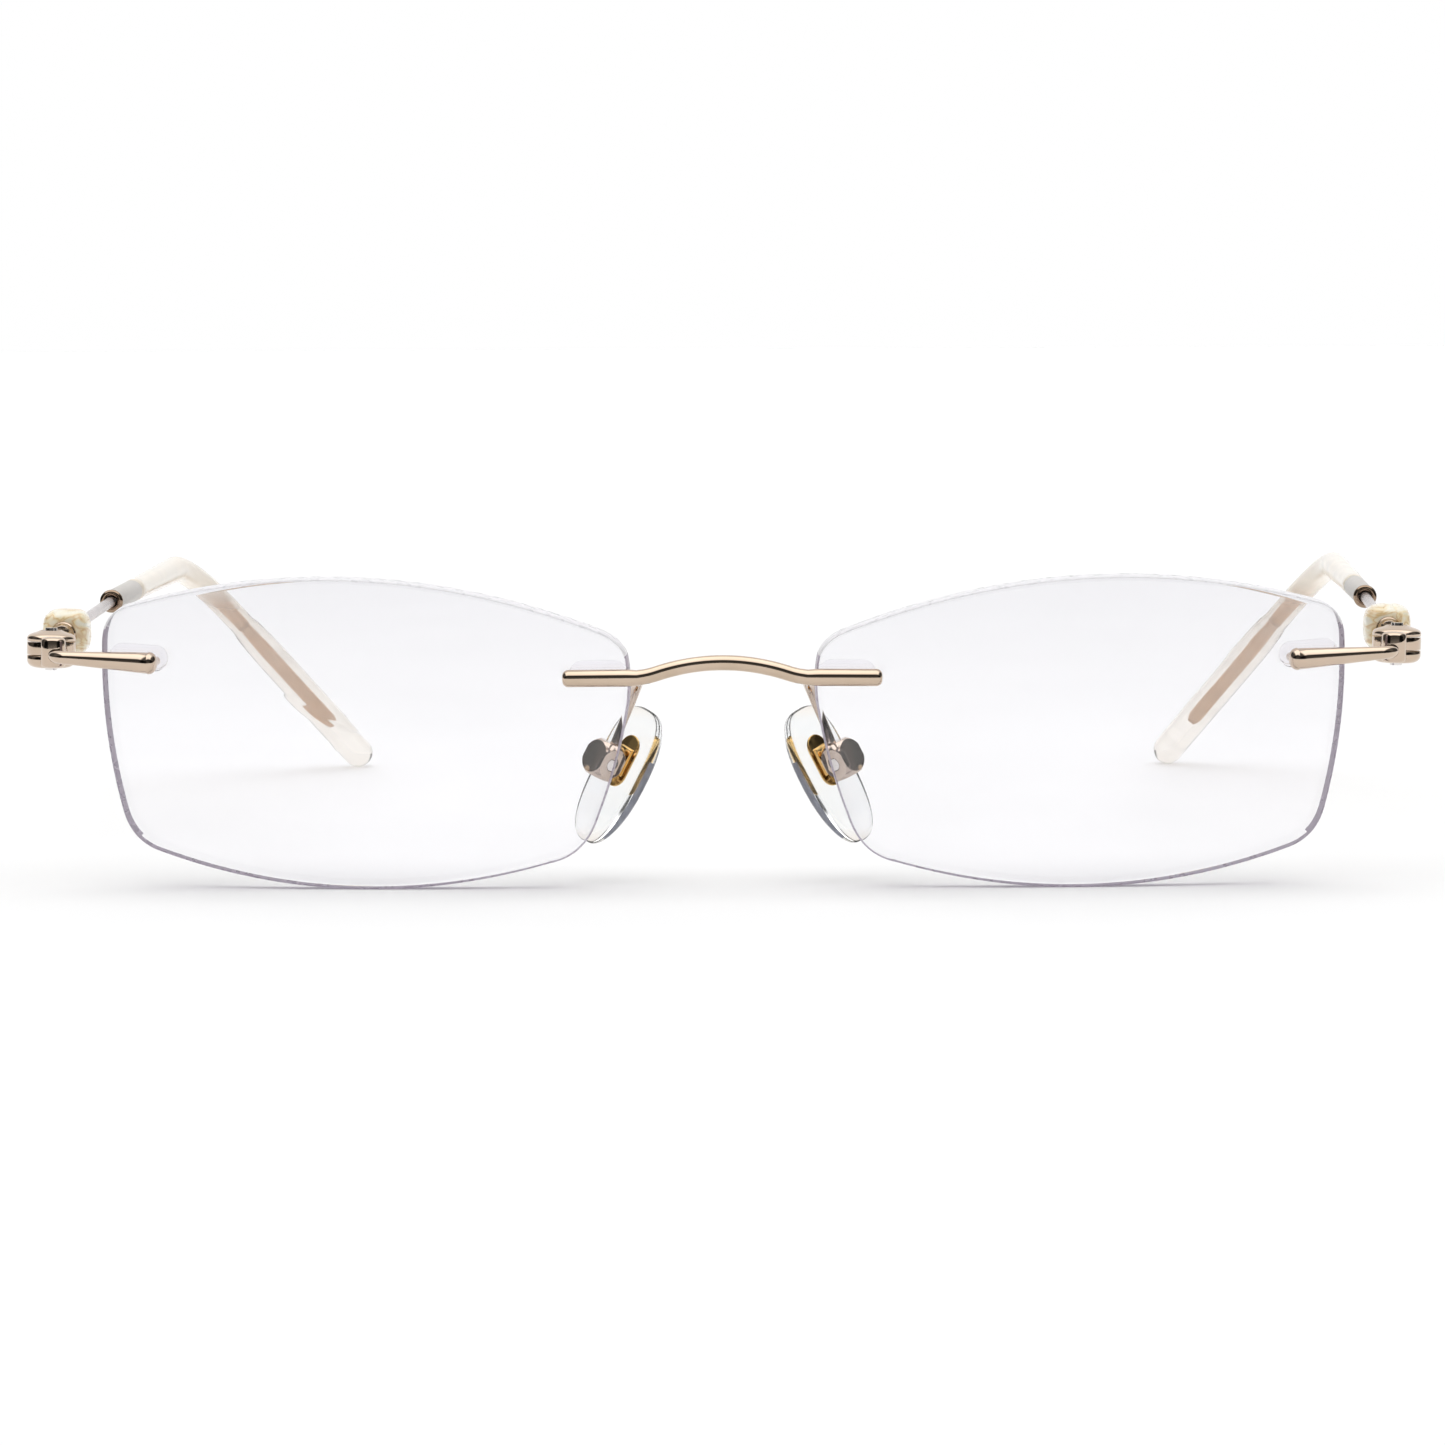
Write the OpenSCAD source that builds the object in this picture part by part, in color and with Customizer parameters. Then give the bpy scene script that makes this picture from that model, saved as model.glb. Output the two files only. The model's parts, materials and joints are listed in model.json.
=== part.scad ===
// Rimless eyeglasses: two drilled lenses, a wire bridge with nose pads, tapered end pieces and
// two hinged wire temples with a bead, a collar, a sleeve and a clear tip over a metal core.
// Millimetres. +Z is up, the lenses face -Y and the temples run towards +Y.
// "left" is the wearer's left, on the +X side. The origin is under the middle of the outer box,
// on the surface that the lenses and the temple tips rest on.

/* [Lenses] */
// Width of one lens
lens_w = 52.1; // [48:0.1:54]
// Height of one lens
lens_h = 30.7; // [28:0.1:33]
// Thickness of one lens
lens_t = 2.2; // [1.8:0.1:2.4]
// Radius of the front of each lens
lens_front_r = 132; // [110:1:180]
// Gap between the lenses
lens_gap = 18.2; // [17:0.1:20]
// Angle by which each lens turns back at its outer side
lens_wrap = 2.5; // [1:0.5:3]
// Angle by which the top of the lenses leans forward
lens_tilt = 5; // [3:0.5:6]

/* [Bridge] */
// Diameter of the bars that hold the lenses at the bridge
bar_d = 1.7; // [1.5:0.05:1.9]
// Length of each bar
bar_len = 7.5; // [7:0.1:8]
// Diameter of the arch between the bars
arch_d = 1.5; // [1.3:0.05:1.6]
// Height of the bars above the ground
bar_z = 20.95; // [20:0.05:21.5]

/* [Nose pads] */
// Length of one nose pad
pad_len = 14.5; // [12:0.5:15]
// Width of one nose pad
pad_w = 8.2; // [7:0.1:8.2]
// Lean of the nose pads seen from the front
pad_lean = 27; // [22:1:30]
// Turn of the nose pads seen from above
pad_splay = 40; // [34:1:43]

/* [End pieces and hinges] */
// Diameter of the end piece at its lens end
end_d = 2.2; // [2:0.05:2.4]
// Diameter of the end piece where it turns back
end_neck_d = 1.3; // [1.1:0.05:1.4]
// Height of the hinge's middle above the ground
hinge_z = 23.5; // [23:0.1:24]
// Diameter of the hinge knuckles
knuckle_d = 4.8; // [4.4:0.1:5]
// Sideways lean of both hinge pins, which lets the folded temples cross
hinge_cant = 1.3; // [1.2:0.1:1.6]

/* [Temples] */
// Outward angle of the wearer's left temple
splay_left = 3.6; // [2:0.1:4.7]
// Outward angle of the wearer's right temple, which is folded in a little
splay_right = -0.1; // [-3:0.1:4]
// Distance from the hinge pin to the corner of the ear bend
bend_at = 100; // [95:1:103]
// Angle of the ear bend
bend_angle = 57.5; // [53:0.1:59]
// Direction of the ear bend: 0 is inward, 90 is straight down
bend_roll = 53.8; // [50:0.1:60]
// Length from the corner of the bend to the centre of the tip's round end
tip_drop = 37.5; // [36:0.1:39]
// Diameter of the temple wire
wire_d = 1.1; // [1:0.05:1.2]
// Diameter of the bead
bead_d = 4.7; // [4:0.1:5]

/* [Hidden] */
$fn = 48;
eps = 0.01;
far = 40;

metal = [0.86, 0.76, 0.66];
rose = [0.88, 0.75, 0.63];
silver = [0.78, 0.74, 0.71];
clear_plastic = [0.95, 0.96, 0.98, 0.35];

// Lens placement: each lens is built round its own middle and then turned and moved here.
lens_x = lens_gap / 2 + lens_w / 2;
lens_y = 0.1;
// How far the curved lens sinks until its lowest edge meets the ground
lens_settle = 0.11;
lens_z = lens_h / 2 * cos(lens_tilt) - lens_settle;
lens_back_r = lens_front_r - lens_t;

// Pins, plugs and the backing plates that clamp the lenses
pin_r = 0.45;
plug_r = 0.8;
fit_gap = 0.02;
plate_r = 1.25;
bridge_pins = [2.9, 5.9];
end_pins = [1.0, 3.9];
// Extra length of the end piece's plate past its inner pin
end_plate_more = 0.5;
// Depth of the backs of the two plates, from the axis of their bar
bridge_plate_back = 4.35;
end_plate_back = 4.55;

// Bridge: the bars start beside the lens and turn forward a little to follow it
bar_x = lens_gap / 2 - 1.0;
bar_yaw = 5;
arch_rise = 1.45;
arch_turn = 18.5;
arch_sum_r = arch_rise / (1 - cos(arch_turn));
arch_r = arch_sum_r * 0.72;
arch_end_r = arch_sum_r - arch_r;
arch_reach = arch_sum_r * sin(arch_turn);

// End pieces
end_x = lens_gap / 2 + lens_w - 5.9;
end_y = 0.95;
end_z = 22.45;
end_yaw = 9;
end_rise = 3.1;
end_len = 8.85;
elbow_r = 2;
// Where the elbow ends, in the frame of the end piece's clamp
elbow_local = [end_len + elbow_r * cos(end_yaw), elbow_r - elbow_r * sin(end_yaw), 0];
elbow_back_y = end_y + elbow_local[0] * sin(end_yaw) + elbow_local[1] * cos(end_yaw);

// Hinge: three knuckles on one screw
hinge_x = lens_gap / 2 + lens_w + 5.6;
hinge_y = 9;
knuckle_r = knuckle_d / 2;
knuckle_h = 1.2;
knuckle_gap = 0.1;
knuckle_top_h = 1.05;
knuckle_foot_h = 1.25;
web_r = 1.2;
web_out = 3.7;
web_half = web_r - 0.06;
// Turn of the post about the pin, towards the nose
web_turn = 12;
web_top_h = 0.6;
end_back_len = hinge_y - web_out * cos(web_turn) - elbow_back_y;
screw_r = 0.6;
screw_gap = 0.03;
screw_head_r = 1.0;

// Pad fittings, in the frame of the pad box: +X away from the nose, +Y along the screw, +Z up
pad_box_at = [11.85, 7, 12.45];
pad_box_size = [2.9, 3.1, 3.6];
pad_box_round = 2.2;
pad_screw_r = 0.45;
pad_screw_len = 2.9;
pad_head_r = 0.7;
pad_head_z = 1.2;
pad_tab_r = 0.8;
pad_tab_w = 1.0;
pad_slot_w = 1.2;
pad_slot_h = 2.3;
pad_foot_t = 0.35;
// The insert and the pad sit a little above the screw
insert_z = 0.5;
pad_plate_x = -2.3;
pad_plate_t = 0.35;
pad_mid_z = -1.1;
pad_t = 1.7;

// Temple, in the frame of the hinge: +Y backwards along the temple
bead_front = 5.2;
bead_len = 4.6;
bead_rise = 1.0;
// How far the temple's line passes beside the hinge pin, towards the nose
temple_in = 0.4;
cap_t = 0.35;
wire_slope = 2.5;
collar_at = 38;
arm_slope = 1.0;
sleeve_len = 14.8;
sleeve_r = 1.2;
tip_bend_r = 1.5;
tip_end_r = 1.82;
// Extra radius of the tip between the bend and its end
tip_swell = 0.3;
bend_r = 22;
bend_tangent = bend_r * tan(bend_angle / 2);
core_flat_w = 1.5;
core_flat_t = 0.8;
core_len = 19.6;

tip_sides = 20;
bore_sides = 16;

wire_r = wire_d / 2;
collar_z = bead_rise + (collar_at - bead_front) * tan(wire_slope);
arm_len = bend_at - collar_at - bend_tangent;

// The outer box runs from the right hinge to the bend of the left temple, and from the bars'
// ends to the temple tips.
box_right = -(hinge_x + knuckle_r);
box_left = hinge_x - temple_in + (bend_at - 11) * sin(splay_left) + tip_bend_r;
box_front = -bar_len * sin(bar_yaw) - bar_d / 2;
box_back = hinge_y + 123.4;
origin_shift = [-(box_left + box_right) / 2, -(box_front + box_back) / 2, 0];

// ---------- helpers ----------

// Points of an arc from a to b that bulges to the left of the way by rise
function bulge(a, b, rise, n) = [for (i = [0:n - 1])
    let (k = i / n, m = a + (b - a) * k, d = (b - a) / norm(b - a))
    m + [-d[1], d[0]] * rise * 4 * k * (1 - k)];
// Points of a round corner from a to b with its sharp corner at c
function corner(a, c, b, n) = [for (i = [0:n - 1])
    let (k = i / n) a * (1 - k) * (1 - k) + c * 2 * k * (1 - k) + b * k * k];
function bezier(p, k) = p[0] * pow(1 - k, 3) + p[1] * 3 * k * pow(1 - k, 2)
    + p[2] * 3 * k * k * (1 - k) + p[3] * pow(k, 3);
function unit(v) = v / norm(v);

// Children for the wearer's left side as drawn, for the right side mirrored
module on_side(side) {
    translate(origin_shift)
        mirror([side < 0 ? 1 : 0, 0, 0])
            children();
}

// Cylinder along +Y
module rod_y(len, r1, r2) {
    rotate([-90, 0, 0])
        cylinder(h = len, r1 = r1, r2 = r2);
}

// Smooth tube along a bezier, closed at both ends, with radius r1 at its start and r2 at its end
module bezier_tube(p, r1, r2, rings, sides) {
    points = [for (i = [0:rings]) let (k = i / rings, t = unit(bezier(p, k + 0.01) - bezier(p, k - 0.01)),
        u = unit(cross(t, [1, 0, 0])), v = cross(t, u), r = r1 + (r2 - r1) * k)
        for (j = [0:sides - 1]) bezier(p, k)
            + (u * cos(360 * j / sides) + v * sin(360 * j / sides)) * r];
    walls = [for (i = [0:rings - 1]) for (j = [0:sides - 1])
        let (a = i * sides + j, b = i * sides + (j + 1) % sides)
        [a, b, b + sides, a + sides]];
    start = [for (j = [0:sides - 1]) sides - 1 - j];
    end = [for (j = [0:sides - 1]) rings * sides + j];
    polyhedron(points, concat([start], walls, [end]), convexity = 4);
}

// Stations of a tube in the plane of the ear bend, each [x, y, heading, radius]: straight from
// start behind the bend, round the bend, then straight for len with its radius going r1 to r2
// and swelling between them
function bend_point(heading) = [-bend_r * (1 - cos(heading)), bend_r * sin(heading)];
function drop_point(t) = bend_point(bend_angle) + t * [-sin(bend_angle), cos(bend_angle)];
function bent_stations(start, r0, r1, r2, len, swell = 0) = concat(
    [[0, -start, 0, r0], [0, -start / 2, 0, (r0 + r1) / 2]],
    [for (i = [0:8]) let (h = bend_angle * i / 8, p = bend_point(h)) [p[0], p[1], h, r1]],
    [for (k = [0.125:0.125:1]) let (p = drop_point(len * k))
        [p[0], p[1], bend_angle, r1 + (r2 - r1) * k + swell * sin(180 * sqrt(k))]]);
// Stations of a half-round end after len
function round_stations(len, r) = [for (b = [18:18:72])
    let (p = drop_point(len + r * sin(b))) [p[0], p[1], bend_angle, r * cos(b)]];

module bent_tube(stations, sides) {
    points = [for (s = stations) for (j = [0:sides - 1]) let (f = 360 * j / sides)
        [s[0], s[1], 0] + s[3] * [cos(f) * cos(s[2]), cos(f) * sin(s[2]), sin(f)]];
    last = len(stations) - 1;
    walls = [for (i = [0:last - 1]) for (j = [0:sides - 1])
        let (a = i * sides + j, b = i * sides + (j + 1) % sides)
        [a, b, b + sides, a + sides]];
    start = [for (j = [0:sides - 1]) sides - 1 - j];
    end = [for (j = [0:sides - 1]) last * sides + j];
    polyhedron(points, concat([start], walls, [end]), convexity = 6);
}

// ---------- lenses ----------

// Point of the lens outline: x outward and y up, as fractions of half the width and height
function lens_point(x, y) = [x * lens_w / 2, y * lens_h / 2];

function lens_outline() = let (
    top_in = lens_point(-0.88, 0.66), top_out = lens_point(0.875, 0.832),
    out_top = lens_point(0.994, 0.59), out_low = lens_point(0.93, -0.508),
    low_out = lens_point(0.787, -0.77), low_in = lens_point(-0.69, -0.84),
    in_low = lens_point(-0.876, -0.54), in_mid = lens_point(-0.993, 0.183),
    in_top = lens_point(-0.988, 0.49))
    concat(
        bulge(top_in, top_out, 3.92, 16),
        corner(top_out, lens_point(0.99, 0.79), out_top, 8),
        bulge(out_top, out_low, 0.6, 6),
        corner(out_low, lens_point(0.9, -0.712), low_out, 8),
        bulge(low_out, low_in, 2.95, 14),
        corner(low_in, lens_point(-0.826, -0.8), in_low, 8),
        bulge(in_low, in_mid, 0.3, 4),
        bulge(in_mid, in_top, 0.2, 3),
        corner(in_top, lens_point(-0.966, 0.6), top_in, 8));

// From the lens's own middle, with +Y backwards, to its place on the wearer's left
module lens_place() {
    translate([lens_x, lens_y, lens_z])
        rotate([0, 0, lens_wrap])
            rotate([lens_tilt, 0, 0])
                children();
}

module lens_sphere(r) {
    lens_place()
        translate([0, lens_front_r, 0])
            sphere(r, $fn = 600);
}

// Frames of the two clamps of a lens: +X along the bar, +Y through the lens
module bridge_mount() {
    translate([bar_x, 0, bar_z])
        rotate([0, 0, -bar_yaw])
            children();
}

module endpiece_mount() {
    translate([end_x, end_y, end_z])
        rotate([0, -end_rise, end_yaw])
            children();
}

module holes(pins, r) {
    for (x = pins)
        translate([x, 0, 0])
            rod_y(far / 4, r, r, $fn = 96);
}

module lens(side) {
    color([0.93, 0.93, 0.97, 0.3])
        on_side(side)
            difference() {
                intersection() {
                    lens_place()
                        rotate([90, 0, 0])
                            translate([0, 0, -far / 2])
                                linear_extrude(far)
                                    polygon([for (p = lens_outline()) [p[0], p[1]]]);
                    lens_sphere(lens_front_r);
                }
                lens_sphere(lens_back_r);
                bridge_mount()
                    holes(bridge_pins, plug_r + fit_gap);
                endpiece_mount()
                    holes(end_pins, plug_r + fit_gap);
            }
}

// Clear bushing: a backing plate behind the lens with a plug through each hole
module bushing_solid(pins) {
    from = pins == end_pins ? pins[0] - end_plate_more : pins[0];
    difference() {
        union() {
            intersection() {
                holes(pins, plug_r);
                bushing_inside(pins, lens_front_r - 0.05);
            }
            intersection() {
                translate([0, 1, 0])
                    union() {
                        translate([from, 0, 0])
                            rod_y(far / 8, plate_r, plate_r, $fn = 96);
                        translate([pins[1], 0, 0])
                            rod_y(far / 8, plate_r, plate_r, $fn = 96);
                        translate([from, 0, -plate_r])
                            cube([pins[1] - from, far / 8, 2 * plate_r]);
                    }
                bushing_inside(pins, lens_back_r - fit_gap);
            }
        }
        holes(pins, pin_r + fit_gap);
        bushing_behind(pins);
    }
}

// Sphere of the lens, seen from the frame of the clamp that holds pins
module bushing_inside(pins, r) {
    if (pins == bridge_pins)
        rotate([0, 0, bar_yaw])
            translate([-bar_x, 0, -bar_z])
                lens_sphere(r);
    else
        rotate([0, end_rise, 0])
            rotate([0, 0, -end_yaw])
                translate([-end_x, -end_y, -end_z])
                    lens_sphere(r);
}

// Everything behind the back of the backing plate
module bushing_behind(pins) {
    back = pins == bridge_pins ? bridge_plate_back : end_plate_back;
    translate([-far / 2, back, -far / 2])
        cube([far, far, far]);
}

module bridge_bushing(side) {
    color(clear_plastic)
        on_side(side)
            bridge_mount()
                bushing_solid(bridge_pins);
}

module endpiece_bushing(side) {
    color(clear_plastic)
        on_side(side)
            endpiece_mount()
                bushing_solid(end_pins);
}

// ---------- bridge ----------

// Outline of a bar from its inner end to its rounded outer end, turned round the bar's axis
module bar_profile(len, r_in, r_out, round) {
    polygon(concat(
        [[0, 0], [r_in, 0]],
        [for (a = [0:15:90]) [r_out - round + round * cos(a), len - round + round * sin(a)]],
        [[0, len]]));
}

// One half of the bridge: a bar and its two pins
module bridge_half() {
    bridge_mount() {
        rotate([0, 90, 0])
            rotate_extrude()
                bar_profile(bar_len, bar_d / 2, bar_d / 2, 0.55);
        for (x = bridge_pins)
            translate([x, 0, 0])
                rod_y(4.2, pin_r, pin_r);
    }
}

// Stations of the arch with its counter-curves, from bar to bar, each [-height, x, heading, radius]
function arch_stations() = let (r = arch_d / 2, n = 4) concat(
    [[0, -arch_reach - 0.2, 0, r]],
    [for (i = [0:n - 1]) let (h = arch_turn * i / n)
        [-arch_end_r * (1 - cos(h)), arch_end_r * sin(h) - arch_reach, h, r]],
    [for (i = [-n:n]) let (h = -arch_turn * i / n)
        [arch_r * (1 - cos(h)) - arch_rise, -arch_r * sin(h), h, r]],
    [for (i = [1:n]) let (h = arch_turn * (i / n - 1))
        [-arch_end_r * (1 - cos(h)), arch_reach + arch_end_r * sin(h), h, r]],
    [[0, arch_reach + 0.2, 0, r]]);

module bridge_arch() {
    translate([0, 0, bar_z])
        rotate([90, 0, 0])
            rotate([0, 0, -90])
                bent_tube(arch_stations(), tip_sides);
}

module bridge() {
    color(metal)
        translate(origin_shift) {
            bridge_arch();
            bridge_half();
            mirror([1, 0, 0])
                bridge_half();
        }
}

// ---------- nose pads ----------

// From the pad box's own frame to its place on the wearer's left
module pad_place() {
    translate(pad_box_at)
        rotate([0, -pad_lean, 0])
            rotate([0, 0, -pad_splay])
                children();
}

pad_arm_path = [
    [bar_x, bar_d / 2 - 0.1, bar_z - 0.15],
    [bar_x - 0.2, 6.4, bar_z + 0.2],
    [bar_x + 1.2, 7.7, bar_z - 3.4],
    [bar_x + 2.8, 6.95, bar_z - 7.1]];

module pad_arm(side) {
    color(silver)
        on_side(side)
            bezier_tube(pad_arm_path, 0.55, 0.45, 20, 12);
}

module pad_box(side) {
    color(silver)
        on_side(side)
            difference() {
                pad_place()
                    difference() {
                        intersection() {
                            cube(pad_box_size, center = true);
                            sphere(pad_box_round, $fn = 64);
                        }
                        // Slot for the insert's tab, open towards the nose
                        translate([-pad_box_size[0] / 2 - 1, -pad_slot_w / 2, -pad_slot_h / 2])
                            cube([pad_box_size[0] / 2 + 1 + pad_tab_r + 0.15, pad_slot_w, pad_slot_h]);
                        rotate([90, 0, 0]) {
                            cylinder(h = 6, r = pad_screw_r + fit_gap, center = true);
                            translate([0, 0, pad_head_z - fit_gap])
                                cylinder(h = 1, r = pad_head_r + fit_gap);
                        }
                    }
                // Seat of the pad arm
                bezier_tube(pad_arm_path, 0.55, 0.45, 20, 12);
            }
}

module pad_screw(side) {
    color(silver)
        on_side(side)
            pad_place()
                rotate([90, 0, 0]) {
                    cylinder(h = pad_screw_len, r = pad_screw_r, center = true);
                    translate([0, 0, pad_head_z])
                        cylinder(h = 0.35, r = pad_head_r);
                }
}

// Gold plate with a tab that turns on the pad screw
module pad_insert(side) {
    color([0.8, 0.62, 0.3])
        on_side(side)
            pad_place()
                difference() {
                    union() {
                        // Tab in the slot of the box
                        rotate([90, 0, 0])
                            cylinder(h = pad_tab_w, r = pad_tab_r, center = true);
                        translate([pad_plate_x / 2, 0, 0])
                            cube([-pad_plate_x, pad_tab_w, 2 * pad_tab_r - 0.2], center = true);
                        // Foot of the tab
                        translate([pad_plate_x, 0, insert_z])
                            rotate([0, 90, 0])
                                linear_extrude(pad_foot_t)
                                    square([2.8, 1.9], center = true);
                        // Oval plate
                        translate([pad_plate_x - pad_plate_t, 0, insert_z])
                            rotate([0, 90, 0])
                                linear_extrude(pad_plate_t)
                                    insert_oval(0);
                    }
                    rotate([90, 0, 0])
                        cylinder(h = 3, r = pad_screw_r + fit_gap, center = true);
                }
}

module insert_oval(grow) {
    for (x = [-1.3, 1.3])
        translate([x, 0])
            circle(1.45 + grow);
    square([2.6, 2.9 + 2 * grow], center = true);
}

// D-shaped clear pad, thickest in its middle, with a pocket for the insert's plate
module nose_pad(side) {
    color([0.93, 0.95, 0.98, 0.4])
        on_side(side)
            pad_place()
                difference() {
                    intersection() {
                        translate([pad_plate_x - pad_t, 0, pad_mid_z])
                            rotate([90, 0, 90])
                                linear_extrude(pad_t)
                                    polygon(pad_outline());
                        translate([pad_plate_x - pad_t + 26, 0, pad_mid_z])
                            sphere(26, $fn = 128);
                    }
                    translate([pad_plate_x - pad_plate_t - fit_gap, 0, insert_z])
                        rotate([0, 90, 0])
                            linear_extrude(pad_t)
                                insert_oval(fit_gap);
                }
}

// Teardrop that is straighter at the front (-x) than at the back
function full(v) = sign(v) * pow(abs(v), 0.68);
function pad_outline() = [for (a = [0:7.5:352.5])
    let (swell = 1 + 0.1 * sin(a), flat = cos(a) < 0 ? 0.84 : 1)
    [full(cos(a)) * pad_w / 2 * swell * flat, full(sin(a)) * pad_len / 2]];

// ---------- end pieces and hinges ----------

// From the frame of the hinge pin to its place; +Z is the pin's axis
module hinge_place(side) {
    translate([hinge_x, hinge_y, hinge_z])
        rotate([0, side * hinge_cant, 0])
            children();
}

knuckle_z0 = -knuckle_h / 2;
knuckle_z1 = knuckle_h / 2;
foot_z0 = knuckle_z0 - knuckle_gap - knuckle_foot_h;
crown_z0 = knuckle_z1 + knuckle_gap;
web_top = crown_z0 + web_top_h;

// Upper knuckle: a low dome with a countersunk seat for the screw's head
module hinge_crown() {
    translate([0, 0, crown_z0])
        rotate_extrude()
            polygon([[0, 0], [knuckle_r, 0], [knuckle_r, 0.3], [knuckle_r - 0.12, 0.55],
                [knuckle_r - 0.5, 0.78], [knuckle_r - 1.1, 0.93],
                [screw_head_r, knuckle_top_h], [0, knuckle_top_h]]);
}

// Lower knuckle, rounded below
module hinge_foot() {
    translate([0, 0, foot_z0])
        rotate_extrude()
            polygon([[0, 0], [knuckle_r - 0.75, 0], [knuckle_r - 0.3, 0.16],
                [knuckle_r - 0.06, 0.42], [knuckle_r, 0.75],
                [knuckle_r, knuckle_foot_h], [0, knuckle_foot_h]]);
}

module screw_bore() {
    translate([0, 0, foot_z0 - 1])
        cylinder(h = 8, r = screw_r + screw_gap);
    translate([0, 0, crown_z0 + knuckle_top_h - 0.45])
        cylinder(h = 2, r = screw_head_r + fit_gap);
}

// Front half of the hinge: both outer knuckles and the post that joins them
module hinge_front() {
    difference() {
        union() {
            hinge_crown();
            hinge_foot();
            rotate([0, 0, -web_turn]) {
                translate([-web_half, -web_out, crown_z0])
                    cube([2 * web_half, web_out - 1.5, web_top_h - 0.2]);
                translate([-web_half, -web_out, foot_z0 + 0.35])
                    cube([2 * web_half, web_out - 1.5, knuckle_foot_h - 0.35]);
                translate([0, -web_out, 0])
                    rotate_extrude()
                        polygon([[0, foot_z0 + 0.3], [web_r - 0.2, foot_z0 + 0.3], [web_r, foot_z0 + 0.5],
                            [web_r, web_top - 0.35], [web_r - 0.12, web_top - 0.15],
                            [web_r - 0.4, web_top], [0, web_top]]);
            }
        }
        screw_bore();
        // Room for the temple's knuckle
        translate([0, 0, knuckle_z0 - knuckle_gap])
            cylinder(h = knuckle_h + 2 * knuckle_gap, r = knuckle_r + 0.08);
    }
}

module endpiece(side) {
    color(rose)
        on_side(side) {
            endpiece_mount() {
                translate([end_len, 0, 0])
                    rotate([0, -90, 0])
                        rotate_extrude()
                            bar_profile(end_len, end_neck_d / 2, end_d / 2, 0.8);
                for (x = end_pins)
                    translate([x, 0, 0])
                        rod_y(4.4, pin_r, pin_r);
                // Elbow that turns back to the hinge
                translate([end_len, elbow_r, 0])
                    rotate([0, 0, -90])
                        rotate_extrude(angle = 90 - end_yaw)
                            translate([elbow_r, 0])
                                circle(end_neck_d / 2);
                // From the elbow into the hinge's post
                translate(elbow_local)
                    rotate([0, 0, -end_yaw])
                        rod_y(end_back_len, end_neck_d / 2, end_neck_d / 2);
            }
            hinge_place(side)
                hinge_front();
        }
}

// Slotted screw that is the hinge pin
module hinge_screw(side) {
    color(silver)
        on_side(side)
            hinge_place(side)
                difference() {
                    union() {
                        translate([0, 0, foot_z0 - 0.25])
                            cylinder(h = 4.2, r = screw_r);
                        translate([0, 0, crown_z0 + knuckle_top_h - 0.43])
                            cylinder(h = 0.4, r = screw_head_r);
                    }
                    translate([0, 0, crown_z0 + knuckle_top_h])
                        cube([3, 0.3, 0.4], center = true);
                }
}

// ---------- temples ----------

function splay(side) = side > 0 ? splay_left : splay_right;

// Frame of the temple: origin beside the hinge's middle, +Y along the temple
module temple_place(side) {
    translate([hinge_x, hinge_y, hinge_z])
        rotate([0, 0, -splay(side)])
            translate([-temple_in, 0, 0])
                children();
}

// Frame of the wire from the bead to the collar
module wire_place(side) {
    temple_place(side)
        translate([0, bead_front, bead_rise])
            rotate([wire_slope, 0, 0])
                children();
}

// Frame of the arm behind the collar
module arm_place(side) {
    temple_place(side)
        translate([0, collar_at, collar_z])
            rotate([arm_slope, 0, 0])
                children();
}

// Frame at the start of the ear bend: the bend turns from +Y towards -X
module bend_place(side) {
    arm_place(side)
        translate([0, arm_len, 0])
            rotate([0, -bend_roll, 0])
                children();
}

// Frame at the end of the ear bend, +Y along the tip
module tip_place(side) {
    bend_place(side)
        translate([-bend_r * (1 - cos(bend_angle)), bend_r * sin(bend_angle), 0])
            rotate([0, 0, bend_angle])
                children();
}

// Temple's knuckle with the arm that carries the bead
module temple_root(side) {
    color(rose)
        on_side(side)
            difference() {
                union() {
                    hinge_place(side)
                        translate([0, 0, knuckle_z0])
                            cylinder(h = knuckle_h, r = knuckle_r);
                    hinge_place(side)
                        rotate([0, 0, -splay(side)])
                            translate([-0.9 - temple_in, 1, knuckle_z0])
                                cube([1.8 + temple_in, 2.4, knuckle_h]);
                    temple_place(side)
                        translate([-0.9, 3, knuckle_z0 + 0.05])
                            cube([1.8, 1.4, bead_rise + 1.2]);
                    // Boss that holds the wire
                    wire_place(side)
                        translate([0, -1.3, 0])
                            rod_y(0.9, 0.95, 1.15);
                }
                hinge_place(side)
                    screw_bore();
                wire_place(side)
                    translate([0, -0.8, 0])
                        rod_y(3, wire_r, wire_r);
            }
}

// Cups in front of and behind the bead
module bead_caps(side) {
    color(rose)
        on_side(side)
            wire_place(side)
                difference() {
                    union() {
                        translate([0, -0.38, 0])
                            rod_y(cap_t, 1.1, 1.3);
                        translate([0, bead_len + 0.03, 0])
                            rod_y(cap_t, 1.75, 1.5);
                        translate([0, bead_len + 0.03 + cap_t - eps, 0])
                            rod_y(0.9, 1.1, wire_r + 0.12);
                    }
                    translate([0, -1, 0])
                        rod_y(8, wire_r + fit_gap, wire_r + fit_gap);
                }
}

// Cushion-shaped bead with a bore for the wire
module bead(side) {
    color([0.93, 0.84, 0.67])
        on_side(side)
            wire_place(side)
                difference() {
                    intersection() {
                        translate([0, bead_len / 2, 0])
                            sphere(bead_d * 0.62, $fn = 96);
                        translate([-bead_d / 2, 0, -bead_d / 2])
                            cube([bead_d, bead_len, bead_d]);
                    }
                    translate([0, -1, 0])
                        rod_y(8, wire_r + fit_gap, wire_r + fit_gap);
                }
}

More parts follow.
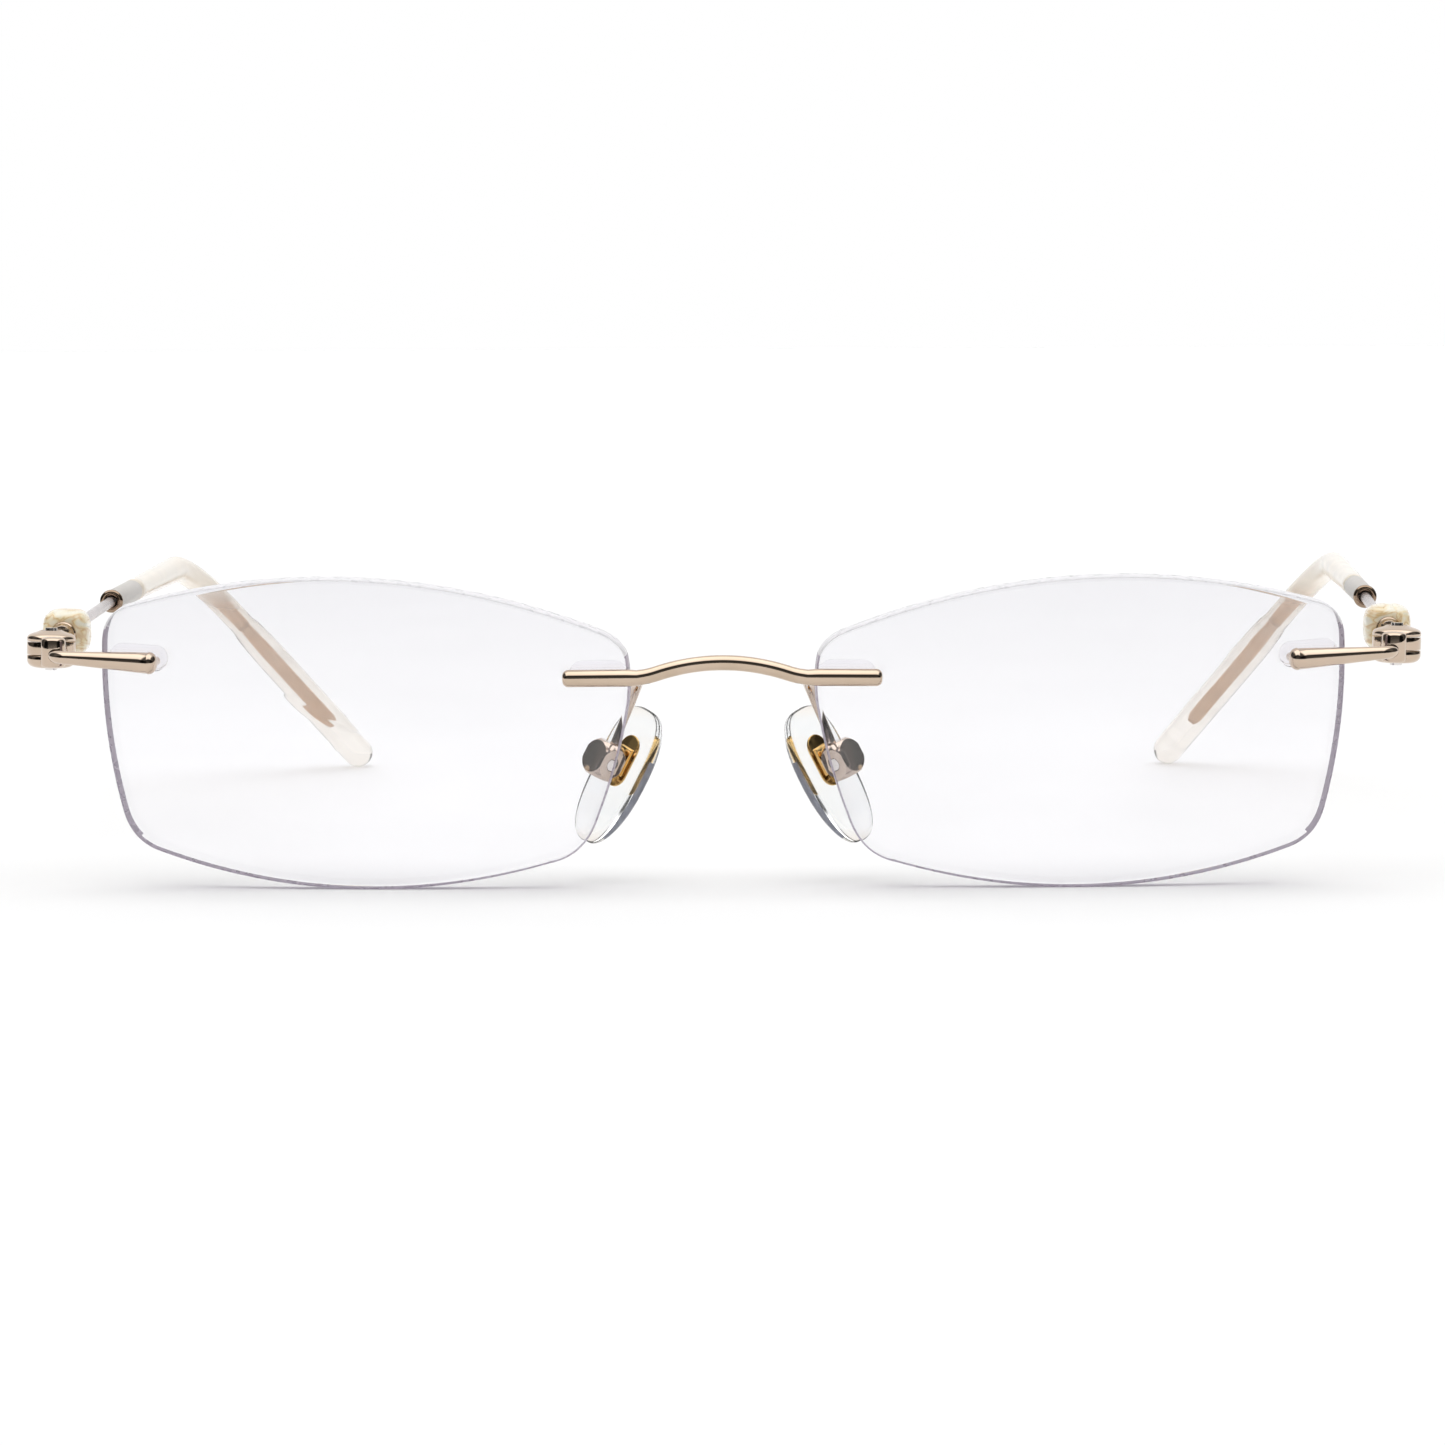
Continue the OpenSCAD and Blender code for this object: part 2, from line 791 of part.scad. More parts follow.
// One wire from the hinge to the flat end of the core inside the tip
module temple_wire(side) {
    color([0.72, 0.68, 0.67])
        on_side(side) {
            wire_place(side)
                translate([0, -0.8, 0])
                    rod_y((collar_at - bead_front) / cos(wire_slope) + 0.78, wire_r, wire_r);
            // Joint of the two straight lengths, inside the collar
            arm_place(side)
                translate([0, -0.3, 0])
                    rod_y(0.6, wire_r - 0.05, wire_r - 0.05);
            bend_place(side)
                bent_tube(bent_stations(arm_len - 0.02, wire_r, wire_r, wire_r, 0.2), bore_sides);
            tip_place(side)
                core_flat(0, core_len);
        }
}

// Flat end of the core: widens from the wire to its rounded end
module core_flat(grow, len) {
    w = core_flat_w / 2 + grow;
    root = 0.35 + grow;
    translate([-core_flat_t / 2 - grow, 0, 0])
        rotate([90, 0, 90])
            linear_extrude(core_flat_t + 2 * grow)
                polygon([[-0.3 - grow, -root], [0.8, -0.6 - grow], [len - 1, -w], [len - 0.4, -w * 0.8],
                    [len, -w * 0.35], [len, w * 0.35], [len - 0.4, w * 0.8], [len - 1, w],
                    [0.8, 0.6 + grow], [-0.3 - grow, root]]);
}

module collar(side) {
    color([0.62, 0.48, 0.34])
        on_side(side)
            arm_place(side)
                rotate([90, 0, 0])
                    rotate_extrude()
                        translate([0.92, 0])
                            circle(0.33);
}

module sleeve(side) {
    color([0.8, 0.77, 0.74])
        on_side(side)
            arm_place(side)
                translate([0, 0.35, 0])
                    difference() {
                        rod_y(sleeve_len, sleeve_r - 0.05, sleeve_r);
                        translate([0, -1, 0])
                            rod_y(sleeve_len + 2, wire_r + fit_gap, wire_r + fit_gap);
                    }
}

// Clear tip with a cavity for the wire and its flat end
module temple_tip(side) {
    tip_start = sleeve_len + 0.37;
    straight = tip_drop - bend_tangent;
    bore_r = (wire_r + fit_gap) / cos(180 / bore_sides);
    color([0.98, 0.94, 0.88, 0.5])
        on_side(side)
            difference() {
                bend_place(side)
                    bent_tube(concat(
                        bent_stations(arm_len - tip_start, sleeve_r, tip_bend_r, tip_end_r, straight,
                            tip_swell),
                        round_stations(straight, tip_end_r)), tip_sides);
                bend_place(side)
                    bent_tube(bent_stations(arm_len - tip_start + 1, bore_r, bore_r, bore_r, 0.4), bore_sides);
                tip_place(side)
                    core_flat(fit_gap, core_len + fit_gap);
            }
}

lens(1);  // lens_left
lens(-1);  // lens_right
bridge();
bridge_bushing(1);  // bridge_bushing_left
bridge_bushing(-1);  // bridge_bushing_right
endpiece_bushing(1);  // endpiece_bushing_left
endpiece_bushing(-1);  // endpiece_bushing_right
pad_arm(1);  // pad_arm_left
pad_arm(-1);  // pad_arm_right
pad_box(1);  // pad_box_left
pad_box(-1);  // pad_box_right
pad_screw(1);  // pad_screw_left
pad_screw(-1);  // pad_screw_right
pad_insert(1);  // pad_insert_left
pad_insert(-1);  // pad_insert_right
nose_pad(1);  // nose_pad_left
nose_pad(-1);  // nose_pad_right
endpiece(1);  // endpiece_left
endpiece(-1);  // endpiece_right
hinge_screw(1);  // hinge_screw_left
hinge_screw(-1);  // hinge_screw_right
temple_root(1);  // temple_root_left
temple_root(-1);  // temple_root_right
bead(1);  // bead_left
bead(-1);  // bead_right
bead_caps(1);  // bead_caps_left
bead_caps(-1);  // bead_caps_right
temple_wire(1);  // temple_wire_left
temple_wire(-1);  // temple_wire_right
collar(1);  // collar_left
collar(-1);  // collar_right
sleeve(1);  // sleeve_left
sleeve(-1);  // sleeve_right
temple_tip(1);  // temple_tip_left
temple_tip(-1);  // temple_tip_right
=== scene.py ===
"""Rimless eyeglasses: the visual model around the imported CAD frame.

Shapes are worked out in millimetres in the design frame: X = 0 is the plane of symmetry, Y = 0 runs
through the bridge bars and Z = 0 is the ground. finish_piece() takes them to the row frame in metres.
"""

import json
import math

import bmesh
import bpy
from mathutils import Matrix, Vector


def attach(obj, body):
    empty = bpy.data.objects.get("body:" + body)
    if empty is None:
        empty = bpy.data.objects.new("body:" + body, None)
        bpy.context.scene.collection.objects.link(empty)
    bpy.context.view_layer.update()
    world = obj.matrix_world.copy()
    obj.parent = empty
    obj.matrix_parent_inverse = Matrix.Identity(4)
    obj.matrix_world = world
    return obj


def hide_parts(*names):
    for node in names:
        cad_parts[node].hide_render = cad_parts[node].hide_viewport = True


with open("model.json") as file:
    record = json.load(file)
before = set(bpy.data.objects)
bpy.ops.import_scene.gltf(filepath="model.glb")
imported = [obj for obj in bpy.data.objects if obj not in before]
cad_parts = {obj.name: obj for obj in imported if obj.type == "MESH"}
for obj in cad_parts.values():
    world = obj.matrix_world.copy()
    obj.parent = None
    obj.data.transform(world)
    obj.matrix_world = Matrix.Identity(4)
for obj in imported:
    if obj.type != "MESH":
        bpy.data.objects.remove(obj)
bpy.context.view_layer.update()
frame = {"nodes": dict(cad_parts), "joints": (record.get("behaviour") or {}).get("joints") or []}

MM = 0.001
NODES = frame["nodes"]
JOINTS = {j["name"]: j for j in frame["joints"]}
PIN = {s: Vector(JOINTS[f"temple_{s}_fold"]["pos_m"]) / MM for s in ("left", "right")}
HINGE = Vector(((PIN["left"].x - PIN["right"].x) / 2, 9.0, PIN["left"].z))
SHIFT = Vector(((PIN["left"].x + PIN["right"].x) / 2, PIN["left"].y - HINGE.y, 0))
SIDES = (("left", 1), ("right", -1))


def rot(axis, degrees):
    return Matrix.Rotation(math.radians(degrees), 4, axis)


def move(*v):
    return Matrix.Translation(Vector(v))


def sin(a):
    return math.sin(math.radians(a))


def cos(a):
    return math.cos(math.radians(a))


def tan(a):
    return math.tan(math.radians(a))


# ---------- design sizes, as in the CAD model ----------

LENS_W, LENS_H, LENS_T, LENS_R = 52.1, 30.7, 2.2, 132.0
LENS_GAP, LENS_WRAP, LENS_TILT = 18.2, 2.5, 5.0
BAR_D, BAR_LEN, BAR_Z, BAR_YAW = 1.7, 7.5, 20.95, 5.0
BAR_X = LENS_GAP / 2 - 1.0
ARCH_D, ARCH_RISE, ARCH_TURN = 1.5, 1.45, 18.5
ARCH_SUM = ARCH_RISE / (1 - cos(ARCH_TURN))
ARCH_R = ARCH_SUM * 0.72
ARCH_END_R = ARCH_SUM - ARCH_R
ARCH_REACH = ARCH_SUM * sin(ARCH_TURN)
BRIDGE_PINS, END_PINS, PIN_R, PIN_ROUND = (2.9, 5.9), (1.0, 3.9), 0.45, 0.12
PLATE_R, END_PLATE_MORE = 1.25, 0.5
END_AT = Vector((LENS_GAP / 2 + LENS_W - 5.9, 0.95, 22.45))
END_YAW, END_RISE, END_LEN, END_D, END_NECK, ELBOW_R = 9.0, 3.1, 8.85, 2.2, 1.3, 2.0
PAD_AT, PAD_LEAN, PAD_SPLAY = Vector((11.85, 7, 12.45)), 27.0, 40.0
PAD_L, PAD_W, PAD_T, PAD_PLATE_X, PAD_Z = 14.5, 8.2, 1.7, -2.3, -1.1
CANT = 1.3
KNUCKLE_R, KNUCKLE_H, KNUCKLE_GAP, CROWN_H, FOOT_H = 2.4, 1.2, 0.1, 1.05, 1.25
WEB_R, WEB_OUT, WEB_TURN, WEB_TOP_H, SCREW_R, HEAD_R = 1.2, 3.7, 12.0, 0.6, 0.6, 1.0
SPLAY = {"left": 3.6, "right": -0.1}
BEAD_FRONT, BEAD_LEN, BEAD_D, BEAD_RISE, TEMPLE_IN = 5.2, 4.6, 4.7, 1.0, 0.4
WIRE_R, WIRE_SLOPE, COLLAR_AT, ARM_SLOPE = 0.55, 2.5, 38.0, 1.0
SLEEVE_LEN, SLEEVE_R, TIP_BEND_R, TIP_END_R, TIP_SWELL = 14.8, 1.2, 1.5, 1.82, 0.3
BEND_AT, BEND_ANGLE, BEND_ROLL, BEND_R, TIP_DROP = 100.0, 57.5, 53.8, 22.0, 37.5
BEND_TANGENT = BEND_R * tan(BEND_ANGLE / 2)
COLLAR_Z = BEAD_RISE + (COLLAR_AT - BEAD_FRONT) * tan(WIRE_SLOPE)
ARM_LEN = BEND_AT - COLLAR_AT - BEND_TANGENT
CORE_W, CORE_T, CORE_LEN = 1.15, 0.6, 19.6


def splay(side):
    return SPLAY["left" if side > 0 else "right"]


def lens_frame():
    z = LENS_H / 2 * cos(LENS_TILT) - 0.11
    return move(LENS_GAP / 2 + LENS_W / 2, 0.1, z) @ rot("Z", LENS_WRAP) @ rot("X", LENS_TILT)


def bar_frame():
    return move(BAR_X, 0, BAR_Z) @ rot("Z", -BAR_YAW)


def end_frame():
    return move(*END_AT) @ rot("Z", END_YAW) @ rot("Y", -END_RISE)


def pad_frame():
    return move(*PAD_AT) @ rot("Y", -PAD_LEAN) @ rot("Z", -PAD_SPLAY)


def hinge_frame(side):
    return move(*HINGE) @ rot("Y", side * CANT)


def temple_frame(side):
    return move(*HINGE) @ rot("Z", -splay(side)) @ move(-TEMPLE_IN, 0, 0)


def wire_frame(side):
    return temple_frame(side) @ move(0, BEAD_FRONT, BEAD_RISE) @ rot("X", WIRE_SLOPE)


def arm_frame(side):
    return temple_frame(side) @ move(0, COLLAR_AT, COLLAR_Z) @ rot("X", ARM_SLOPE)


def bend_frame(side):
    return arm_frame(side) @ move(0, ARM_LEN, 0) @ rot("Y", -BEND_ROLL)


# ---------- mesh helpers ----------

ROUND_STEP = 15  # degrees between the rings of a rounded end
RIM_SHARP = 50  # degrees between faces from which a turned rim stays sharp
LEAST_R = 0.01  # no ring is smaller, so that a fully rounded end still has one to cap


def finish_piece(name, bm, side, place, body, replaced, mats):
    """Puts a mesh built in its own frame, in millimetres, in its place on its body."""
    to_row = Matrix.Scale(MM, 4) @ Matrix.Translation(SHIFT)
    if side < 0:
        to_row = to_row @ Matrix.Scale(-1, 4, Vector((1, 0, 0)))
    bm.transform(to_row @ place)
    if side < 0:
        bmesh.ops.reverse_faces(bm, faces=bm.faces)
    bmesh.ops.recalc_face_normals(bm, faces=bm.faces)
    mesh = bpy.data.meshes.new(name)
    bm.to_mesh(mesh)
    bm.free()
    for p in mesh.polygons:
        p.use_smooth = True
    for m in mats:
        mesh.materials.append(m)
    piece = bpy.data.objects.new(name, mesh)
    bpy.context.scene.collection.objects.link(piece)
    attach(piece, body)
    if replaced:
        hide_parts(*replaced)
    return piece


def add_rings(bm, rings, loop=False):
    """Skins rings of points, each a list of the same length. A loop joins its ends, others are capped."""
    verts = [[bm.verts.new(p) for p in ring] for ring in rings]
    n = len(verts[0])
    pairs = list(zip(verts, verts[1:]))
    if loop:
        pairs.append((verts[-1], verts[0]))
    for a, b in pairs:
        for j in range(n):
            k = (j + 1) % n
            bm.faces.new((a[j], a[k], b[k], b[j]))
    if loop:
        return
    for ring, flip in ((verts[0], True), (verts[-1], False)):
        middle = bm.verts.new(sum((v.co for v in ring), Vector()) / n)
        for j in range(n):
            k = (j + 1) % n
            bm.faces.new((ring[k], ring[j], middle) if flip else (ring[j], ring[k], middle))


def tube_rings(path, radii, sides, up=Vector((0, 0, 1)), section=None):
    """Rings round a path with a steady twist. section gives a point of the unit cross-section."""
    rings = []
    tangents = []
    for i in range(len(path)):
        a, b = path[max(i - 1, 0)], path[min(i + 1, len(path) - 1)]
        tangents.append((b - a).normalized())
    normal = (up - tangents[0] * up.dot(tangents[0])).normalized()
    for i, p in enumerate(path):
        if i:
            turn = tangents[i - 1].rotation_difference(tangents[i])
            normal = turn @ normal
            normal = (normal - tangents[i] * normal.dot(tangents[i])).normalized()
        binormal = tangents[i].cross(normal)
        ring = []
        for j in range(sides):
            f = 360.0 * j / sides
            u, v = section(f, i) if section else (cos(f), sin(f))
            ring.append(p + (normal * u + binormal * v) * radii[i])
        rings.append(ring)
    return rings


def rounded_end(tip, before, radius, length):
    """Points and radii from a rounded end's base out to its tip."""
    out = (tip - before).normalized()
    base = tip - out * length
    angles = range(ROUND_STEP, 91, ROUND_STEP)
    return ([base] + [base + out * length * sin(a) for a in angles],
            [radius] + [radius - length * (1 - cos(a)) for a in angles])


def rounded_tube(path, radii, sides, start, end):
    """tube_rings with ends rounded by start and end, which keep the tube's full length."""
    path, radii = [Vector(p) for p in path], list(radii)
    if start:
        points, sizes = rounded_end(path[0], path[1], radii[0], start)
        path, radii = points[::-1] + path[1:], sizes[::-1] + radii[1:]
    if end:
        points, sizes = rounded_end(path[-1], path[-2], radii[-1], end)
        path, radii = path[:-1] + points, radii[:-1] + sizes
    return tube_rings(path, [max(r, LEAST_R) for r in radii], sides)


def line_values(a, b, n):
    return [a + (b - a) * i / n for i in range(n + 1)]


def line(a, b, n):
    return line_values(Vector(a), Vector(b), n)


def lathe(bm, profile, sides, place, loop=False):
    """Turns a profile of (radius, height) round Z. A loop is a profile that closes on itself."""
    turns = [360 * j / sides for j in range(sides)]
    add_rings(bm, [[place @ Vector((r * cos(a), r * sin(a), z)) for a in turns] for r, z in profile], loop)


def block(bm, size, place, bevel):
    """A box with rounded edges."""
    made = bmesh.ops.create_cube(bm, size=1.0, matrix=place @ Matrix.Diagonal((*size, 1)))
    edges = {e for v in made["verts"] for e in v.link_edges}
    bmesh.ops.bevel(bm, geom=list(edges), offset=bevel, segments=3, profile=0.5, affect="EDGES")


def bezier(p, k):
    return p[0] * (1 - k) ** 3 + p[1] * 3 * k * (1 - k) ** 2 + p[2] * 3 * k * k * (1 - k) + p[3] * k ** 3


# ---------- materials ----------


def add_ramp(tree, factor, stops):
    """factor mapped through stops of (position, colour)."""
    n = tree.nodes.new("ShaderNodeValToRGB")
    e = n.color_ramp.elements
    while len(e) < len(stops):
        e.new(0.5)
    for el, (pos, col) in zip(e, stops):
        el.position = pos
        el.color = (*col, 1)
    tree.links.new(factor, n.inputs[0])
    return n.outputs[0]


def greys(*stops):
    """Stops of (position, value) as ramp stops of (position, colour)."""
    return [(position, (value,) * 3) for position, value in stops]


class Nodes:
    """A material's nodes, built with short calls."""

    def __init__(self, name):
        self.m = bpy.data.materials.new(name)
        self.m.use_nodes = True
        self.t = self.m.node_tree
        self.t.nodes.clear()
        self.out = self.t.nodes.new("ShaderNodeOutputMaterial")
        self.b = self.t.nodes.new("ShaderNodeBsdfPrincipled")
        self.t.links.new(self.b.outputs[0], self.out.inputs[0])
        self.coord = self.t.nodes.new("ShaderNodeTexCoord")

    def link(self, a, b):
        self.t.links.new(a, b)

    def set(self, **values):
        names = {"metal": "Metallic", "ior": "IOR", "trans": "Transmission Weight",
                 "coat": "Coat Weight", "coat_rough": "Coat Roughness", "spec": "Specular IOR Level"}
        for k, v in values.items():
            self.b.inputs[names[k]].default_value = v

    def height(self):
        n = self.t.nodes.new("ShaderNodeSeparateXYZ")
        self.link(self.coord.outputs["Object"], n.inputs[0])
        return n.outputs["Z"]

    def mapping(self, scale):
        n = self.t.nodes.new("ShaderNodeMapping")
        n.inputs["Scale"].default_value = scale
        self.link(self.coord.outputs["Object"], n.inputs["Vector"])
        return n.outputs[0]

    def noise(self, scale, vector, detail=3.0, rough=0.5, distortion=0.0):
        n = self.t.nodes.new("ShaderNodeTexNoise")
        n.inputs["Scale"].default_value = scale
        n.inputs["Detail"].default_value = detail
        n.inputs["Roughness"].default_value = rough
        n.inputs["Distortion"].default_value = distortion
        self.link(vector, n.inputs["Vector"])
        return n.outputs[0]

    def ramp(self, factor, stops):
        return add_ramp(self.t, factor, stops)

    def grey(self, factor, low, high, a=0.0, b=1.0):
        """factor, from a to b, mapped to values from low to high."""
        n = self.t.nodes.new("ShaderNodeMapRange")
        for key, value in (("From Min", a), ("From Max", b), ("To Min", low), ("To Max", high)):
            n.inputs[key].default_value = value
        self.link(factor, n.inputs["Value"])
        return n.outputs[0]

    def mix(self, factor, a, b):
        """a and b are sockets or plain colours."""
        n = self.t.nodes.new("ShaderNodeMix")
        n.data_type = "RGBA"
        self.link(factor, n.inputs[0])
        for socket, value in ((n.inputs[6], a), (n.inputs[7], b)):
            if isinstance(value, bpy.types.NodeSocket):
                self.link(value, socket)
            else:
                socket.default_value = (*value, 1)
        return n.outputs[2]

    def colour(self, socket):
        self.link(socket, self.b.inputs["Base Color"])

    def rough(self, socket):
        self.link(socket, self.b.inputs["Roughness"])

    def bump(self, height, strength, distance):
        n = self.t.nodes.new("ShaderNodeBump")
        n.inputs["Strength"].default_value = strength
        n.inputs["Distance"].default_value = distance
        self.link(height, n.inputs["Height"])
        self.link(n.outputs[0], self.b.inputs["Normal"])

    def shadow_through(self, tint):
        """Lets lamps through, as clear plastic does."""
        path = self.t.nodes.new("ShaderNodeLightPath")
        clear = self.t.nodes.new("ShaderNodeBsdfTransparent")
        clear.inputs[0].default_value = (*tint, 1)
        mixer = self.t.nodes.new("ShaderNodeMixShader")
        self.link(path.outputs["Is Shadow Ray"], mixer.inputs[0])
        self.link(self.b.outputs[0], mixer.inputs[1])
        self.link(clear.outputs[0], mixer.inputs[2])
        self.link(mixer.outputs[0], self.out.inputs[0])


def plated(name, low, high, rough, wear=0.05):
    """Polished plating with fine polishing lines and faint handling marks."""
    n = Nodes(name)
    spots = n.noise(260.0, n.mapping((1, 1, 1)), 4.0)
    lines = n.noise(900.0, n.mapping((0.15, 1, 1)), 2.0)
    n.colour(n.ramp(spots, [(0.3, low), (0.7, high)]))
    n.set(metal=1.0)
    n.rough(n.grey(lines, rough, rough + wear, 0.35, 0.7))
    n.bump(lines, 0.03, 0.00002)
    return n.m


def bushing_material():
    """Clear plastic, which shows only faintly against the lens it is pressed to."""
    n = Nodes("clear_bushing")
    tint, rough = (0.95, 0.94, 0.96), 0.03
    marks = n.noise(420.0, n.mapping((1, 1, 1)), 3.0)
    n.colour(n.ramp(marks, [(0.35, tint), (0.75, tuple(c * 0.985 for c in tint))]))
    n.set(trans=1.0, ior=1.16)
    n.rough(n.grey(marks, rough, rough + 0.02, 0.4, 0.7))
    n.shadow_through((0.93, 0.93, 0.95))
    return n.m


CHAMPAGNE = plated("champagne_plating", (0.57, 0.45, 0.34), (0.63, 0.50, 0.39), 0.02)
ROSE = plated("rose_plating", (0.575, 0.455, 0.355), (0.635, 0.51, 0.405), 0.04)
TAUPE = plated("taupe_plating", (0.55, 0.45, 0.38), (0.63, 0.53, 0.46), 0.05)
STEEL = plated("screw_steel", (0.72, 0.68, 0.66), (0.8, 0.77, 0.75), 0.14)
GOLD = plated("gold_plating", (0.72, 0.47, 0.18), (0.86, 0.60, 0.27), 0.08)
BRONZE = plated("bronze_plating", (0.28, 0.20, 0.14), (0.38, 0.28, 0.20), 0.05)
MAUVE = plated("mauve_plating", (0.50, 0.46, 0.46), (0.58, 0.53, 0.53), 0.2, 0.1)
BUSHING = bushing_material()


def lens_material():
    """Clear lens with a faint lavender tint, darkened towards the top by painted shade."""
    n = Nodes("lens_clear")
    top, bottom = (0.86, 0.855, 0.88), (0.955, 0.95, 0.968)
    high = n.grey(n.height(), 0.0, 1.0, 0.002, LENS_H * MM)
    smear = n.noise(60.0, n.mapping((0.6, 1, 1.6)), 3.0)
    # Painted shade: the tint darkens from just below half the lens's height up to its top.
    tint = n.ramp(high, [(0.0, bottom), (0.45, bottom), (1.0, top)])
    n.colour(n.mix(n.grey(smear, 0.0, 0.25, 0.45, 0.75), tint, tuple(c * 0.97 for c in top)))
    n.set(trans=1.0, ior=1.5)
    n.rough(n.grey(smear, 0.0, 0.01, 0.4, 0.7))
    n.shadow_through((0.985, 0.98, 0.99))
    return n.m


LENS = lens_material()


def painted_edge_material(name, low, high, trans, rough):
    """Half-clear edge of a clear piece, with fine marks from grinding or moulding. Its colour is painted
    light or painted shade, after the way the edge faces the light.
    """
    n = Nodes(name)
    marks = n.noise(900.0, n.mapping((1, 4, 1)), 3.0)
    n.colour(n.ramp(marks, [(0.3, low), (0.7, high)]))
    n.set(trans=trans, ior=1.5)
    n.rough(n.grey(marks, rough, rough + 0.1, 0.35, 0.7))
    n.shadow_through((0.85, 0.82, 0.87))
    return n.m


# Painted shade for lens edges that face down or sideways, painted light for those that face up.
LENS_EDGE_SHADE = painted_edge_material("lens_edge_painted_shade", (0.41, 0.36, 0.44), (0.47, 0.41, 0.50), 0.35, 0.25)
LENS_EDGE_LIGHT = painted_edge_material("lens_edge_painted_light", (0.86, 0.845, 0.875), (0.90, 0.885, 0.91), 0.1, 0.25)


PAD_FOOT, PAD_HEAD = 3.8, 17.4  # heights near the pad's ends, where its amber is deepest


def pad_material():
    """Clear silicone, a little amber at its lower and upper ends."""
    n = Nodes("clear_silicone")
    cloud = n.noise(500.0, n.mapping((1, 1, 1)), 3.0)
    along = n.grey(n.height(), 0.0, 1.0, PAD_FOOT * MM, PAD_HEAD * MM)
    amber = n.ramp(along, greys((0.0, 0.55), (0.12, 0.0), (0.9, 0.0), (1.0, 0.45)))
    clear = n.ramp(cloud, [(0.35, (0.93, 0.945, 0.95)), (0.75, (0.955, 0.95, 0.94))])
    n.colour(n.mix(amber, clear, (0.95, 0.82, 0.69)))
    n.set(trans=1.0, ior=1.33)
    n.rough(n.grey(cloud, 0.03, 0.07, 0.4, 0.7))
    n.shadow_through((0.92, 0.93, 0.94))
    return n.m


PAD = pad_material()
# Painted shade: a slate band on the pad's rim, where its thickness stands in shade.
PAD_SLATE_SHADE = painted_edge_material("silicone_rim_painted_shade", (0.15, 0.16, 0.20), (0.23, 0.24, 0.29), 0.2, 0.15)


def pearl_material():
    """Mother-of-pearl: cream with golden streaks that run round the bead."""
    n = Nodes("pearl_bead")
    warp = n.mapping((1.0, 0.45, 1.6))
    streak = n.noise(330.0, warp, 2.5, 0.5, 1.2)
    fine = n.noise(1500.0, n.mapping((1, 0.3, 1)), 3.0)
    gold = n.ramp(streak, [(0.34, (0.97, 0.90, 0.73)), (0.44, (0.95, 0.82, 0.57)), (0.5, (0.76, 0.52, 0.24)),
                           (0.54, (0.94, 0.78, 0.48)), (0.6, (0.97, 0.9, 0.71)), (0.75, (0.99, 0.95, 0.84))])
    n.colour(n.mix(n.grey(fine, 0.0, 0.15, 0.4, 0.7), gold, (0.99, 0.97, 0.9)))
    n.set(coat=0.8, coat_rough=0.06)
    n.rough(n.grey(fine, 0.22, 0.38, 0.3, 0.7))
    n.bump(streak, 0.04, 0.00003)
    return n.m


PEARL = pearl_material()


TIP_TOP = 30.0  # height that the tip's changes of colour and clearness are measured against
TIP_CLEAR = ((5, 0.96), (12, 0.9), (20, 0.84), (21.7, 0.7), (23.2, 0.3), (24.6, 0.02))  # height, clearness


def tip_material():
    """Pearly plastic: cloudy and cream along the arm, clearer down the drop to the rounded end."""
    n = Nodes("pearly_clear_plastic")
    cloud = n.noise(240.0, n.mapping((1.0, 0.35, 1.0)), 4.0, 0.6, 0.6)
    high = n.grey(n.height(), 0.0, 1.0, 0.0, TIP_TOP * MM)
    cream = n.ramp(cloud, [(0.3, (0.97, 0.895, 0.79)), (0.7, (0.945, 0.85, 0.73))])
    n.colour(n.mix(n.grey(high, 0.0, 1.0, 0.6, 0.82), (0.985, 0.945, 0.885), cream))
    clearer = n.ramp(high, greys(*((height / TIP_TOP, value) for height, value in TIP_CLEAR)))
    veil = n.grey(cloud, 0.0, 0.12, 0.45, 0.75)
    less = n.t.nodes.new("ShaderNodeMath")
    less.operation = "SUBTRACT"
    n.link(clearer, less.inputs[0])
    n.link(veil, less.inputs[1])
    n.link(less.outputs[0], n.b.inputs["Transmission Weight"])
    n.set(ior=1.33, coat=0.2, coat_rough=0.1)
    n.rough(n.grey(cloud, 0.1, 0.22, 0.35, 0.7))
    n.shadow_through((0.95, 0.93, 0.90))
    return n.m


TIP = tip_material()


def core_material():
    """Brushed rose ribbon, as it looks through the clear tip."""
    n = Nodes("core_ribbon")
    grain = n.noise(700.0, n.mapping((0.2, 1, 1)), 3.0)
    n.colour(n.ramp(grain, [(0.3, (0.70, 0.48, 0.33)), (0.7, (0.78, 0.56, 0.41))]))
    n.set(metal=0.1)
    n.rough(n.grey(grain, 0.35, 0.5, 0.35, 0.7))
    n.bump(grain, 0.1, 0.00002)
    return n.m


CORE = core_material()


def sleeve_material():
    """Matte warm grey plastic with a fine grain."""
    n = Nodes("matte_sleeve")
    grain = n.noise(1600.0, n.mapping((1, 1, 1)), 3.0)
    n.colour(n.ramp(grain, [(0.3, (0.58, 0.55, 0.52)), (0.7, (0.66, 0.63, 0.60))]))
    n.rough(n.grey(grain, 0.42, 0.6, 0.35, 0.7))
    n.bump(grain, 0.12, 0.00002)
    return n.m


SLEEVE = sleeve_material()

# ---------- lenses ----------


LENS_POINTS, LENS_BEVEL, LENS_SHARP = 440, 0.2, 25
LENS_FILL = (0.12, 0.35, 0.6, 0.82, 0.94)  # rings of each face, as shares of its outermost ring
OUTER_SIDE = LENS_W * 0.44  # beyond this, one more row behind the edge takes the edge's material
LIT_EDGE_SLOPE = 0.3  # an edge that faces up more than this gets painted light, the others painted shade
PLATE_GAP, PLATE_POINTS = 0.02, 48
PLATE_ROUNDING = ((0.0, 0.5), (0.08, 0.66), (0.25, 0.75), (0.6, 0.78))  # inwards by, behind the lens by


